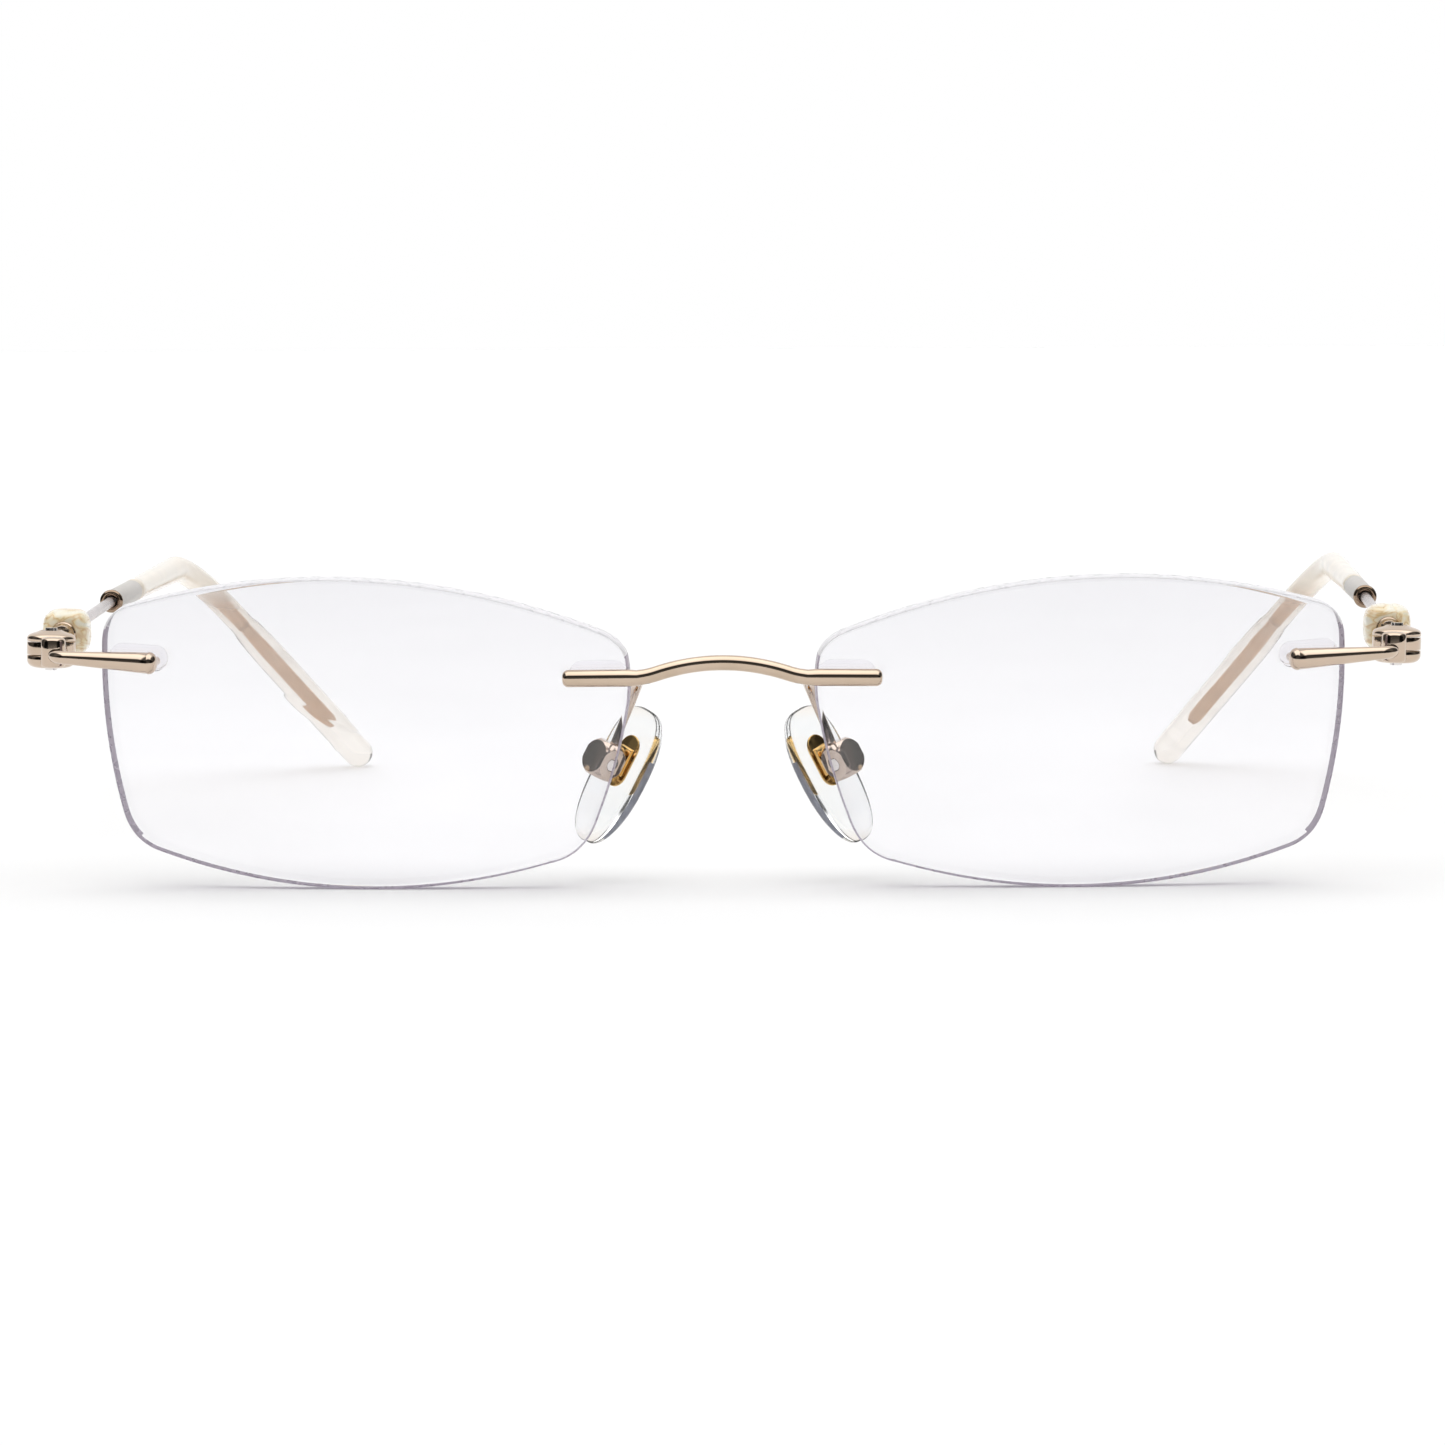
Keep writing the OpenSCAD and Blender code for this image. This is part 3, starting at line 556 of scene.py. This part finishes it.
def bulge(a, b, rise, n):
    """n points from a towards b, along an arch that rises to the left of the way there."""
    d = (b - a).normalized()
    left = Vector((-d.y, d.x))
    return [a + (b - a) * k + left * rise * 4 * k * (1 - k) for k in (i / n for i in range(n))]


def corner(a, c, b, n):
    """n points from a towards b, along a curve that c pulls outwards."""
    return [a * (1 - k) ** 2 + c * 2 * k * (1 - k) + b * k * k for k in (i / n for i in range(n))]


def lens_outline():
    """The outline, clockwise seen from the front, with the nose at -X."""
    def at(x, y):
        return Vector((x * LENS_W / 2, y * LENS_H / 2))
    top_in, top_out, out_top = at(-0.88, 0.66), at(0.875, 0.832), at(0.994, 0.59)
    out_low, low_out, low_in = at(0.93, -0.508), at(0.787, -0.77), at(-0.69, -0.84)
    in_low, in_mid, in_top = at(-0.876, -0.54), at(-0.993, 0.183), at(-0.988, 0.49)
    return (bulge(top_in, top_out, 3.92, 44) + corner(top_out, at(0.99, 0.79), out_top, 16)
            + bulge(out_top, out_low, 0.6, 16) + corner(out_low, at(0.9, -0.712), low_out, 14)
            + bulge(low_out, low_in, 2.95, 40) + corner(low_in, at(-0.826, -0.8), in_low, 14)
            + bulge(in_low, in_mid, 0.3, 10) + bulge(in_mid, in_top, 0.2, 6)
            + corner(in_top, at(-0.966, 0.6), top_in, 14))


def inset(loop, amount):
    """The loop moved inwards by amount."""
    n = len(loop)
    out = []
    for i, p in enumerate(loop):
        d = (loop[(i + 1) % n] - loop[i - 1]).normalized()
        side = Vector((-d.y, d.x))
        if side.dot(p) > 0:
            side = -side
        out.append(p + side * amount)
    return out


def resample(loop, n):
    """The loop as n points, evenly spaced."""
    m = len(loop)
    lengths = [(loop[(i + 1) % m] - loop[i]).length for i in range(m)]
    total, out, i, run = sum(lengths), [], 0, 0.0
    for k in range(n):
        want = total * k / n
        while run + lengths[i] < want:
            run += lengths[i]
            i += 1
        out.append(loop[i].lerp(loop[(i + 1) % m], (want - run) / lengths[i]))
    return out


def build_lens(name, side):
    """Curved lens with bevelled rims. Its edge is painted shade, with painted light where it faces up."""
    outline = resample(lens_outline(), LENS_POINTS)

    def on_sphere(p, r, more=0.0):
        return Vector((p.x, LENS_R - math.sqrt(r * r - p.x ** 2 - p.y ** 2) + more, p.y))
    back_r = LENS_R - LENS_T
    near = [inset(outline, a) for a in (LENS_BEVEL * 2.4, LENS_BEVEL, LENS_BEVEL * 0.3, 0.0)]
    lead = (0.0, 0.0, LENS_BEVEL * 0.3, LENS_BEVEL)
    front = [[on_sphere(p * s, LENS_R) for p in near[0]] for s in LENS_FILL]
    front += [[on_sphere(p, LENS_R, more) for p in loop] for loop, more in zip(near, lead)]
    back = [[on_sphere(p * s, back_r) for p in near[0]] for s in LENS_FILL]
    back += [[on_sphere(p, back_r, -more) for p in loop] for loop, more in zip(near, lead)]
    bm = bmesh.new()
    add_rings(bm, front + back[::-1])
    edge_from, edge_to = len(front) - 3, len(front) + 2
    n = len(outline)
    for i, f in enumerate(list(bm.faces)[:n * (len(front) + len(back) - 1)]):
        outer = outline[i % n].x > OUTER_SIDE
        if edge_from <= i // n < edge_to + (1 if outer else 0):
            along = outline[(i + 1) % n] - outline[i % n]
            faces_up = along.x / along.length
            # Painted light on edges that face up, painted shade on the rest.
            f.material_index = 2 if faces_up > LIT_EDGE_SLOPE else 1
    node = f"lens_{name}"
    mats = [LENS, LENS_EDGE_SHADE, LENS_EDGE_LIGHT]
    glass = finish_piece(f"{node}_glass", bm, side, lens_frame(), "front", [node], mats)
    glass.data.set_sharp_from_angle(angle=math.radians(LENS_SHARP))


def inset_about(loop, pins, amount):
    """The plate's loop moved inwards by amount, towards the line between its pins."""
    out = []
    for p in loop:
        middle = Vector((min(max(p.x, pins[0]), pins[1]), 0))
        out.append(middle + (p - middle) * (1 - amount / PLATE_R))
    return out


def build_plate(name, side, place, pins, longer=0.0):
    """Clear backing plate of a clamp, between the back of the lens and the ends of the pins."""
    lens = place.inverted() @ lens_frame()
    to_lens = lens.inverted()
    back_r = LENS_R - LENS_T - PLATE_GAP
    pins = (pins[0] - longer, pins[1])
    loop = []
    for i in range(PLATE_POINTS):
        a = 360 * i / PLATE_POINTS
        middle = pins[0] if cos(a) < 0 else pins[1]
        loop.append(Vector((middle + PLATE_R * cos(a), PLATE_R * sin(a))))

    def on_back(p, behind):
        at = to_lens @ Vector((p.x, 0, p.y))
        y = LENS_R - math.sqrt(back_r ** 2 - at.x ** 2 - at.z ** 2)
        return lens @ Vector((at.x, y + behind, at.z))
    rings = [[on_back(p, 0.0) for p in inset_about(loop, pins, 0.3)], [on_back(p, 0.0) for p in loop]]
    rings += [[on_back(p, behind) for p in inset_about(loop, pins, cut)] for cut, behind in PLATE_ROUNDING]
    bm = bmesh.new()
    add_rings(bm, rings)
    node = f"{name}_bushing_{'left' if side > 0 else 'right'}"
    finish_piece(f"{node}_plate", bm, side, place, "front", [node], [BUSHING])


for s, k in SIDES:
    build_lens(s, k)
    build_plate("bridge", k, bar_frame(), BRIDGE_PINS)
    build_plate("endpiece", k, end_frame(), END_PINS, END_PLATE_MORE)

# ---------- bridge ----------


ARCH_PARTS = 12  # for each of the two curves of half the arch
STEP_AT = 0.3  # the arch stops this far before the bar
BAR_STOPS = ((0.2, 0.77), (0.6, 0.8), (1.0, 0.83), (1.4, BAR_D / 2), (2.0, BAR_D / 2), (4.0, BAR_D / 2),
             (6.0, BAR_D / 2), (BAR_LEN - 0.9, BAR_D / 2), (BAR_LEN, BAR_D / 2))  # distance, radius


def bridge_path():
    """Centre line and radii from bar end to bar end, with the step between bar and arch."""
    half = []
    for i in range(ARCH_PARTS + 1):
        h = ARCH_TURN * i / ARCH_PARTS
        half.append((Vector((ARCH_R * sin(h), 0, BAR_Z + ARCH_RISE - ARCH_R * (1 - cos(h)))), ARCH_D / 2))
    for i in range(ARCH_PARTS - 1, 0, -1):
        h = ARCH_TURN * i / ARCH_PARTS
        x, z = ARCH_REACH - ARCH_END_R * sin(h), BAR_Z + ARCH_END_R * (1 - cos(h))
        if x < BAR_X - STEP_AT:
            half.append((Vector((x, 0, z)), ARCH_D / 2))
    bar = bar_frame()
    for d, r in BAR_STOPS:
        half.append((bar @ Vector((d, 0, 0)), r))
    flipped = [(Vector((-p.x, p.y, p.z)), r) for p, r in half[:0:-1]]
    return flipped + half


def build_bridge():
    """The wire bridge with its two bars and their clamp pins."""
    points = bridge_path()
    bm = bmesh.new()
    add_rings(bm, rounded_tube([p for p, _ in points], [r for _, r in points], 40, 0.6, 0.6))
    for k in (1, -1):
        for x in BRIDGE_PINS:
            pin = [bar_frame() @ p for p in line((x, 0.2, 0), (x, 4.2, 0), 4)]
            pin = [Vector((p.x * k, p.y, p.z)) for p in pin]
            add_rings(bm, rounded_tube(pin, [PIN_R] * 5, 20, 0, PIN_ROUND))
    finish_piece("bridge_wire", bm, 1, Matrix.Identity(4), "front", ["bridge"], [CHAMPAGNE])


build_bridge()

# ---------- nose pads ----------

ARM_PATH = [Vector(p) for p in ((BAR_X, BAR_D / 2 - 0.1, BAR_Z - 0.15), (BAR_X - 0.2, 6.4, BAR_Z + 0.2),
                                (BAR_X + 1.2, 7.7, BAR_Z - 3.4), (BAR_X + 2.8, 6.95, BAR_Z - 7.1))]


ARM_R, ARM_THINNING, ARM_PARTS = 0.55, 0.1, 40


def build_pad_arm(s, k):
    """Thinning wire from the bridge bar down to the pad box."""
    bm = bmesh.new()
    path = [bezier(ARM_PATH, i / ARM_PARTS) for i in range(ARM_PARTS + 1)]
    radii = [ARM_R - ARM_THINNING * i / ARM_PARTS for i in range(ARM_PARTS + 1)]
    add_rings(bm, tube_rings(path, radii, 20, up=Vector((1, 0, 0))))
    node = f"pad_arm_{s}"
    finish_piece(f"{node}_wire", bm, k, Matrix.Identity(4), "front", [node], [TAUPE])


WELD = 0.000002  # metres
FLAT_ANGLE, BEVEL_ANGLE, SHARP_ANGLE = 1, 35, 40  # degrees


def copy_node(node, name, bevel, mats, body):
    """The CAD node's own shape with its sharp edges rounded."""
    bm = bmesh.new()
    bm.from_mesh(NODES[node].data)
    bmesh.ops.remove_doubles(bm, verts=bm.verts, dist=WELD)
    bmesh.ops.dissolve_limit(bm, angle_limit=math.radians(FLAT_ANGLE), verts=bm.verts, edges=bm.edges)
    mesh = bpy.data.meshes.new(name)
    bm.to_mesh(mesh)
    bm.free()
    for m in mats:
        mesh.materials.append(m)
    piece = bpy.data.objects.new(name, mesh)
    bpy.context.scene.collection.objects.link(piece)
    mod = piece.modifiers.new("round", "BEVEL")
    mod.width, mod.segments, mod.limit_method = bevel * MM, 3, "ANGLE"
    mod.angle_limit = math.radians(BEVEL_ANGLE)
    bpy.context.view_layer.update()
    done = bpy.data.meshes.new_from_object(piece.evaluated_get(bpy.context.evaluated_depsgraph_get()))
    piece.modifiers.clear()
    piece.data = done
    for p in done.polygons:
        p.use_smooth = True
    done.set_sharp_from_angle(angle=math.radians(SHARP_ANGLE))
    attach(piece, body)
    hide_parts(node)


SLATE_SHADE_ROWS = range(4, 8)  # rows of faces of the pad's rim that are next to its domed side, where the slate painted shade goes
SLATE_SHADE_SPAN = (-0.8, 0.42)  # how far down and up they carry the slate painted shade, as shares of half the pad's length
PAD_RIM, PAD_DOME_R, PAD_POINTS, PAD_SQUARE = 0.42, 26.0, 72, 0.68


def pad_outline_point(a):
    """Point of the D-shaped outline: squarish, flatter on one side and wider towards the top."""
    flat = 0.84 if cos(a) < 0 else 1.0
    x, y = (math.copysign(abs(v) ** PAD_SQUARE, v) for v in (cos(a), sin(a)))
    return Vector((x * PAD_W / 2 * (1 + 0.1 * sin(a)) * flat, y * PAD_L / 2))


def build_pad(s, k):
    """Clear pad: domed towards the nose, flat behind, with a rounded rim."""
    outline = [pad_outline_point(360 * i / PAD_POINTS) for i in range(PAD_POINTS)]
    x0 = PAD_PLATE_X - PAD_T

    def dome(p):
        return PAD_DOME_R - math.sqrt(PAD_DOME_R ** 2 - p.x ** 2 - p.y ** 2)
    rings = [[Vector((x0 + dome(p * share), p.x * share, p.y * share + PAD_Z)) for p in outline]
             for share in (0.15, 0.4, 0.65, 0.85)]
    back = inset(outline, PAD_RIM)
    for a in range(0, 181, 30):
        ring = []
        for p, q in zip(back, outline):
            out = (q - p).normalized()
            low, high = x0 + dome(p), PAD_PLATE_X
            middle, half = (low + high) / 2, (high - low) / 2
            w = p + out * PAD_RIM * sin(a)
            ring.append(Vector((middle - half * cos(a), w.x, w.y + PAD_Z)))
        rings.append(ring)
    rings += [[Vector((PAD_PLATE_X, p.x * f, p.y * f + PAD_Z)) for p in back] for f in (0.9, 0.6, 0.3)]
    bm = bmesh.new()
    add_rings(bm, rings)
    n = len(outline)
    for i, f in enumerate(list(bm.faces)[:n * (len(rings) - 1)]):
        p = outline[i % n]
        # Painted shade: a slate band on the rim beside the dome, on its flatter side.
        if i // n in SLATE_SHADE_ROWS and p.x < 0 and SLATE_SHADE_SPAN[0] < p.y / (PAD_L / 2) < SLATE_SHADE_SPAN[1]:
            f.material_index = 1
    node = f"nose_pad_{s}"
    finish_piece(f"{node}_silicone", bm, k, pad_frame(), f"pad_{s}", [node], [PAD, PAD_SLATE_SHADE])


for s, k in SIDES:
    build_pad_arm(s, k)
    build_pad(s, k)
    copy_node(f"pad_box_{s}", f"pad_box_{s}_shell", 0.22, [TAUPE], "front")
    copy_node(f"pad_insert_{s}", f"pad_insert_{s}_plate", 0.08, [GOLD], f"pad_{s}")
    copy_node(f"pad_screw_{s}", f"pad_screw_{s}_head", 0.08, [STEEL], "front")

# ---------- end pieces and hinges ----------

Z0, Z1 = -KNUCKLE_H / 2, KNUCKLE_H / 2
FOOT_Z = Z0 - KNUCKLE_GAP - FOOT_H
CROWN_Z = Z1 + KNUCKLE_GAP
WEB_TOP = CROWN_Z + WEB_TOP_H


ELBOW_PARTS, KNUCKLE_SIDES = 12, 48


def build_endpiece(s, k):
    """Tapered bar with its clamp pins, elbow, post, and the hinge's crown above and foot below."""
    bm = bmesh.new()
    # Bar, elbow and the short length back to the post
    local = [Vector((d, 0, 0)) for d in (0, 0.8, 1.6, 3, 4.5, 6, 7.4, END_LEN)]
    radii = [END_D / 2 + (END_NECK - END_D) / 2 * p.x / END_LEN for p in local]
    turn = 90 - END_YAW
    for i in range(1, ELBOW_PARTS + 1):
        h = turn * i / ELBOW_PARTS
        local.append(Vector((END_LEN + ELBOW_R * sin(h), ELBOW_R * (1 - cos(h)), 0)))
        radii.append(END_NECK / 2)
    back_y = END_AT.y + local[-1].x * sin(END_YAW) + local[-1].y * cos(END_YAW)
    way = Vector((sin(END_YAW), cos(END_YAW), 0))
    for i in range(1, 4):
        local.append(local[-1] + way * (HINGE.y - WEB_OUT * cos(WEB_TURN) - back_y) / 3)
        radii.append(END_NECK / 2)
    add_rings(bm, [[end_frame() @ p for p in ring] for ring in rounded_tube(local, radii, 36, 0.75, 0)])
    for x in END_PINS:
        pin = [end_frame() @ p for p in line((x, 0.3, 0), (x, 4.4, 0), 4)]
        add_rings(bm, rounded_tube(pin, [PIN_R] * 5, 20, 0, PIN_ROUND))
    place = hinge_frame(k)
    r, h, t = KNUCKLE_R, HEAD_R + 0.02, SCREW_R + 0.03
    crown = [(t, 0), (r - 0.05, 0), (r, 0.05), (r, 0.28), (r - 0.04, 0.42), (r - 0.14, 0.56),
             (r - 0.32, 0.68), (r - 0.6, 0.8), (r - 1.0, 0.9), (h + 0.12, CROWN_H - 0.02),
             (h + 0.05, CROWN_H), (h, CROWN_H - 0.04), (h, CROWN_H - 0.45), (t, CROWN_H - 0.45)]
    foot = [(t, 0), (r - 0.8, 0), (r - 0.5, 0.08), (r - 0.28, 0.2), (r - 0.1, 0.4), (r - 0.02, 0.6),
            (r, 0.8), (r, FOOT_H - 0.05), (r - 0.05, FOOT_H), (t, FOOT_H)]
    for profile, z in ((crown, CROWN_Z), (foot, FOOT_Z)):
        lathe(bm, [(q, z + height) for q, height in profile], KNUCKLE_SIDES, place, loop=True)
    w = WEB_R
    post = [(0.02, FOOT_Z + 0.3), (w - 0.3, FOOT_Z + 0.3), (w - 0.08, FOOT_Z + 0.38), (w, FOOT_Z + 0.55),
            (w, WEB_TOP - 0.4), (w - 0.05, WEB_TOP - 0.22), (w - 0.2, WEB_TOP - 0.08), (w - 0.45, WEB_TOP),
            (0.02, WEB_TOP + 0.03)]
    place = place @ rot("Z", -WEB_TURN)
    lathe(bm, post, 40, place @ move(0, -WEB_OUT, 0))
    for z, height in ((CROWN_Z, WEB_TOP_H - 0.2), (FOOT_Z + 0.35, FOOT_H - 0.35)):
        block(bm, (2 * w - 0.12, WEB_OUT - 1.5, height),
              place @ move(0, -(WEB_OUT + 1.5) / 2, z + height / 2), 0.12)
    node = f"endpiece_{s}"
    piece = finish_piece(f"{node}_arm", bm, k, Matrix.Identity(4), "front", [node], [ROSE])
    piece.data.set_sharp_from_angle(angle=math.radians(RIM_SHARP))


for s, k in SIDES:
    build_endpiece(s, k)
    copy_node(f"hinge_screw_{s}", f"hinge_screw_{s}_pin", 0.06, [STEEL], "front")
    copy_node(f"temple_root_{s}", f"temple_root_{s}_knuckle", 0.1, [ROSE], f"temple_{s}")
    copy_node(f"bead_caps_{s}", f"bead_caps_{s}_cups", 0.08, [ROSE], f"temple_{s}")

# ---------- temples ----------


BEAD_SIDES, BEAD_SQUARE, BEAD_BARREL, BEAD_SHOULDER = 64, 3.2, 0.42, 0.8
BORE_GAP = 0.03


def build_bead(s, k):
    """Cushion bead with a bore: squarish seen along the wire, barrel-shaped from the side."""
    half, bore = BEAD_D / 2, WIRE_R + BORE_GAP
    rings = []
    for a in range(-90, 91, 6):
        y = BEAD_LEN / 2 + BEAD_LEN / 2 * math.copysign(abs(sin(a)) ** BEAD_SHOULDER, sin(a))
        share = max(cos(a), 0.0) ** BEAD_BARREL
        ring = []
        for j in range(BEAD_SIDES):
            f = 360 * j / BEAD_SIDES
            square = (abs(cos(f)) ** BEAD_SQUARE + abs(sin(f)) ** BEAD_SQUARE) ** (-1 / BEAD_SQUARE)
            r = bore + (half * square - bore) * share
            ring.append(Vector((r * cos(f), y, r * sin(f))))
        rings.append(ring)
    bm = bmesh.new()
    add_rings(bm, rings, loop=True)
    node = f"bead_{s}"
    finish_piece(f"{node}_pearl", bm, k, wire_frame(k), f"temple_{s}", [node], [PEARL])


def bend_points(n):
    """Centre line of the ear bend, in the frame where it starts."""
    return [Vector((-BEND_R * (1 - cos(BEND_ANGLE * i / n)), BEND_R * sin(BEND_ANGLE * i / n), 0))
            for i in range(n + 1)]


DROP = Vector((-sin(BEND_ANGLE), cos(BEND_ANGLE), 0))
CORE_PARTS, TUBE_SIDES = 30, 24


def build_wire(s, k):
    """Wire from the hinge on through the sleeve and the bend, then the flat core of the tip's drop."""
    bm = bmesh.new()
    run = (COLLAR_AT - BEAD_FRONT) / cos(WIRE_SLOPE)
    front = [wire_frame(k) @ p for p in line((0, -0.8, 0), (0, run, 0), 14)]
    back = [arm_frame(k) @ p for p in line((0, 0.5, 0), (0, SLEEVE_LEN, 0), 6)]
    covered = [arm_frame(k) @ p for p in line((0, SLEEVE_LEN + 0.3, 0), (0, ARM_LEN - 0.5, 0), 12)]
    bend = [bend_frame(k) @ p for p in bend_points(20)]
    path = front + back + covered + bend
    add_rings(bm, tube_rings(path, [WIRE_R] * len(path), TUBE_SIDES))
    bm.faces.ensure_lookup_table()
    for f in bm.faces[len(front + back) * TUBE_SIDES:(len(path) - 1) * TUBE_SIDES]:
        f.material_index = 1
    node = f"temple_wire_{s}"
    mats = [MAUVE, CORE]
    finish_piece(f"{node}_wire", bm, k, Matrix.Identity(4), f"temple_{s}", [node], mats)
    # Flat core, widening to a rounded end
    bm = bmesh.new()
    start = bend_points(1)[1]
    stops = [CORE_LEN * i / CORE_PARTS for i in range(CORE_PARTS + 1)]
    widths = [CORE_W / 2 * (0.82 + 0.18 * min(d / 4, 1)) for d in stops]
    widths[-2:] = [CORE_W / 2 * 0.93, CORE_W / 2 * 0.6]
    flat = CORE_T / 2

    def ribbon(f, i):
        q = (cos(f) ** 4 + sin(f) ** 4) ** -0.25
        return cos(f) * q, sin(f) * q * flat / widths[i]
    path = [start + DROP * (d - 0.2) for d in stops]
    add_rings(bm, tube_rings(path, widths, TUBE_SIDES, section=ribbon))
    finish_piece(f"{node}_core", bm, k, bend_frame(k), f"temple_{s}", [], [CORE])


SLEEVE_AT = 0.35  # distance behind the start of the arm
TIP_AT = SLEEVE_LEN + 0.37  # the same for the tip, just clear of the sleeve


def build_sleeve(s, k):
    """Matte sleeve on the wire, open at both ends."""
    bm = bmesh.new()
    r, inner = SLEEVE_R, WIRE_R + 0.02
    profile = [(inner, 0), (r - 0.25, 0), (r - 0.12, 0.05), (r - 0.05, 0.2), (r - 0.02, SLEEVE_LEN * 0.5),
               (r, SLEEVE_LEN - 0.1), (r - 0.05, SLEEVE_LEN), (inner, SLEEVE_LEN)]
    rings = [[Vector((q * cos(a), y + SLEEVE_AT, q * sin(a))) for a in range(0, 360, 10)]
             for q, y in profile]
    add_rings(bm, rings, loop=True)
    node = f"sleeve_{s}"
    body = f"temple_{s}"
    piece = finish_piece(f"{node}_cover", bm, k, arm_frame(k), body, [node], [SLEEVE])
    piece.data.set_sharp_from_angle(angle=math.radians(RIM_SHARP))


DROP_PARTS, BEND_PARTS, TIP_SIDES = 28, 40, 72
STRAIGHT_END = -0.8  # clear of the bend's first ring, so that no seam shows


def build_tip(s, k):
    """Clear tip: widens along the arm, bends down behind the ear and swells a little in the drop."""
    bm = bmesh.new()
    straight = line((0, TIP_AT - ARM_LEN, 0), (0, STRAIGHT_END, 0), 12)
    n = len(straight)
    radii = [SLEEVE_R + (TIP_BEND_R - SLEEVE_R) * i / (n - 1) for i in range(n)]
    bend = bend_points(BEND_PARTS)
    drop = [bend[-1] + DROP * d for d in line_values(0, TIP_DROP - BEND_TANGENT, DROP_PARTS)[1:]]
    grow = [TIP_BEND_R + (TIP_END_R - TIP_BEND_R) * q + TIP_SWELL * sin(180 * math.sqrt(q))
            for q in line_values(0, 1, DROP_PARTS)[1:]]
    path, radii = straight + bend + drop, radii + [TIP_BEND_R] * len(bend) + grow
    for a in range(ROUND_STEP, 90, ROUND_STEP):
        path.append(drop[-1] + DROP * TIP_END_R * sin(a))
        radii.append(TIP_END_R * cos(a))
    path.append(drop[-1] + DROP * TIP_END_R * 0.995)
    radii.append(TIP_END_R * 0.1)
    add_rings(bm, tube_rings(path, radii, TIP_SIDES))
    node = f"temple_tip_{s}"
    finish_piece(f"{node}_plastic", bm, k, bend_frame(k), f"temple_{s}", [node], [TIP])


for s, k in SIDES:
    build_bead(s, k)
    build_wire(s, k)
    build_sleeve(s, k)
    build_tip(s, k)

# ---------- materials of the CAD nodes that stay ----------

for node, obj in NODES.items():
    if node.startswith("collar"):
        obj.data.materials.clear()
        obj.data.materials.append(BRONZE)

# ---------- floor, light and camera ----------


FLOOR_HALF = 60.0  # metres
BAND = ((0.0, 0.25), (0.05, 0.08), (0.23, 0.03), (0.28, 1.5),
        (0.44, 1.9), (0.60, 1.9), (0.63, 1.0), (1.0, 1.0))  # angle up from the camera's side / 180, light
FLAGS = ((0.0, 1.0), (0.62, 1.0), (0.72, 0.07), (1.0, 0.07))  # sideways part of the direction, share left


def build_floor():
    """Pale paper, with a barely visible change of tone."""
    bm = bmesh.new()
    bmesh.ops.create_grid(bm, x_segments=24, y_segments=24, size=FLOOR_HALF)
    mesh = bpy.data.meshes.new("studio_floor")
    bm.to_mesh(mesh)
    bm.free()
    floor = bpy.data.objects.new("studio_floor", mesh)
    bpy.context.scene.collection.objects.link(floor)
    n = Nodes("pale_floor")
    paper = n.noise(25.0, n.mapping((1, 1, 1)), 2.0)
    n.colour(n.ramp(paper, [(0.3, (0.955, 0.955, 0.955)), (0.7, (0.97, 0.97, 0.97))]))
    n.rough(n.grey(paper, 0.85, 0.95))
    n.set(spec=0.1)
    mesh.materials.append(n.m)


build_floor()


def build_world():
    """White studio for the camera. All other rays find it bright overhead and dark low on the camera's
    side (BAND) and at both sides (FLAGS), and the polished metal reflects that."""
    world = bpy.data.worlds.new("studio")
    bpy.context.scene.world = world
    world.use_nodes = True
    t = world.node_tree
    t.nodes.clear()
    out = t.nodes.new("ShaderNodeOutputWorld")
    back = t.nodes.new("ShaderNodeBackground")
    coord = t.nodes.new("ShaderNodeTexCoord")
    split = t.nodes.new("ShaderNodeSeparateXYZ")
    t.links.new(coord.outputs["Generated"], split.inputs[0])

    def maths(op, a, b=None):
        n = t.nodes.new("ShaderNodeMath")
        n.operation = op
        for i, v in enumerate((a, b)):
            if isinstance(v, bpy.types.NodeSocket):
                t.links.new(v, n.inputs[i])
            elif v is not None:
                n.inputs[i].default_value = v
        return n.outputs[0]
    forward = maths("MULTIPLY", split.outputs["Y"], -1.0)
    height = maths("ABSOLUTE", split.outputs["Z"])
    angle = maths("DIVIDE", maths("ARCTAN2", height, forward), math.pi)
    band = add_ramp(t, angle, greys(*BAND))
    sides = add_ramp(t, maths("ABSOLUTE", split.outputs["X"]), greys(*FLAGS))
    seen = t.nodes.new("ShaderNodeLightPath").outputs["Is Camera Ray"]
    t.links.new(maths("MAXIMUM", maths("MULTIPLY", band, sides), seen), back.inputs["Color"])
    back.inputs["Strength"].default_value = 1.0
    t.links.new(back.outputs[0], out.inputs[0])


build_world()


def add_sun(name, energy, softness, tilt):
    """A soft lamp that shines down, turned by tilt degrees towards the camera's side."""
    sun = bpy.data.lights.new(name, "SUN")
    sun.energy = energy
    sun.angle = math.radians(softness)
    lamp = bpy.data.objects.new(name, sun)
    lamp.rotation_euler = (math.radians(tilt), 0, 0)
    bpy.context.scene.collection.objects.link(lamp)
    return lamp


add_sun("overhead", energy=0.06, softness=70, tilt=12)
fill = add_sun("front_fill", energy=0.3, softness=60, tilt=62)
fill.visible_glossy = False
fill.visible_transmission = False

FOCAL_SHARE, SENSOR = 4430 / 1445, 36.0  # focal length over the picture's width, sensor width in mm
CAMERA_AT = Vector((4, -430, 53.2))
PITCH, ROLL = 4.87, 0.25
YAW = math.degrees(math.atan2(CAMERA_AT.x, -CAMERA_AT.y))


def build_camera():
    data = bpy.data.cameras.new("camera")
    data.sensor_width = SENSOR
    data.lens = SENSOR * FOCAL_SHARE
    data.clip_start, data.clip_end = 0.01, 60
    camera = bpy.data.objects.new("camera", data)
    bpy.context.scene.collection.objects.link(camera)
    turn = rot("Z", YAW) @ rot("X", 90 - PITCH) @ rot("Z", -ROLL)
    camera.matrix_world = move(*((CAMERA_AT + SHIFT) * MM)) @ turn
    bpy.context.scene.camera = camera


build_camera()

scene = bpy.context.scene
scene.view_settings.view_transform = "Standard"
scene.view_settings.look = "None"
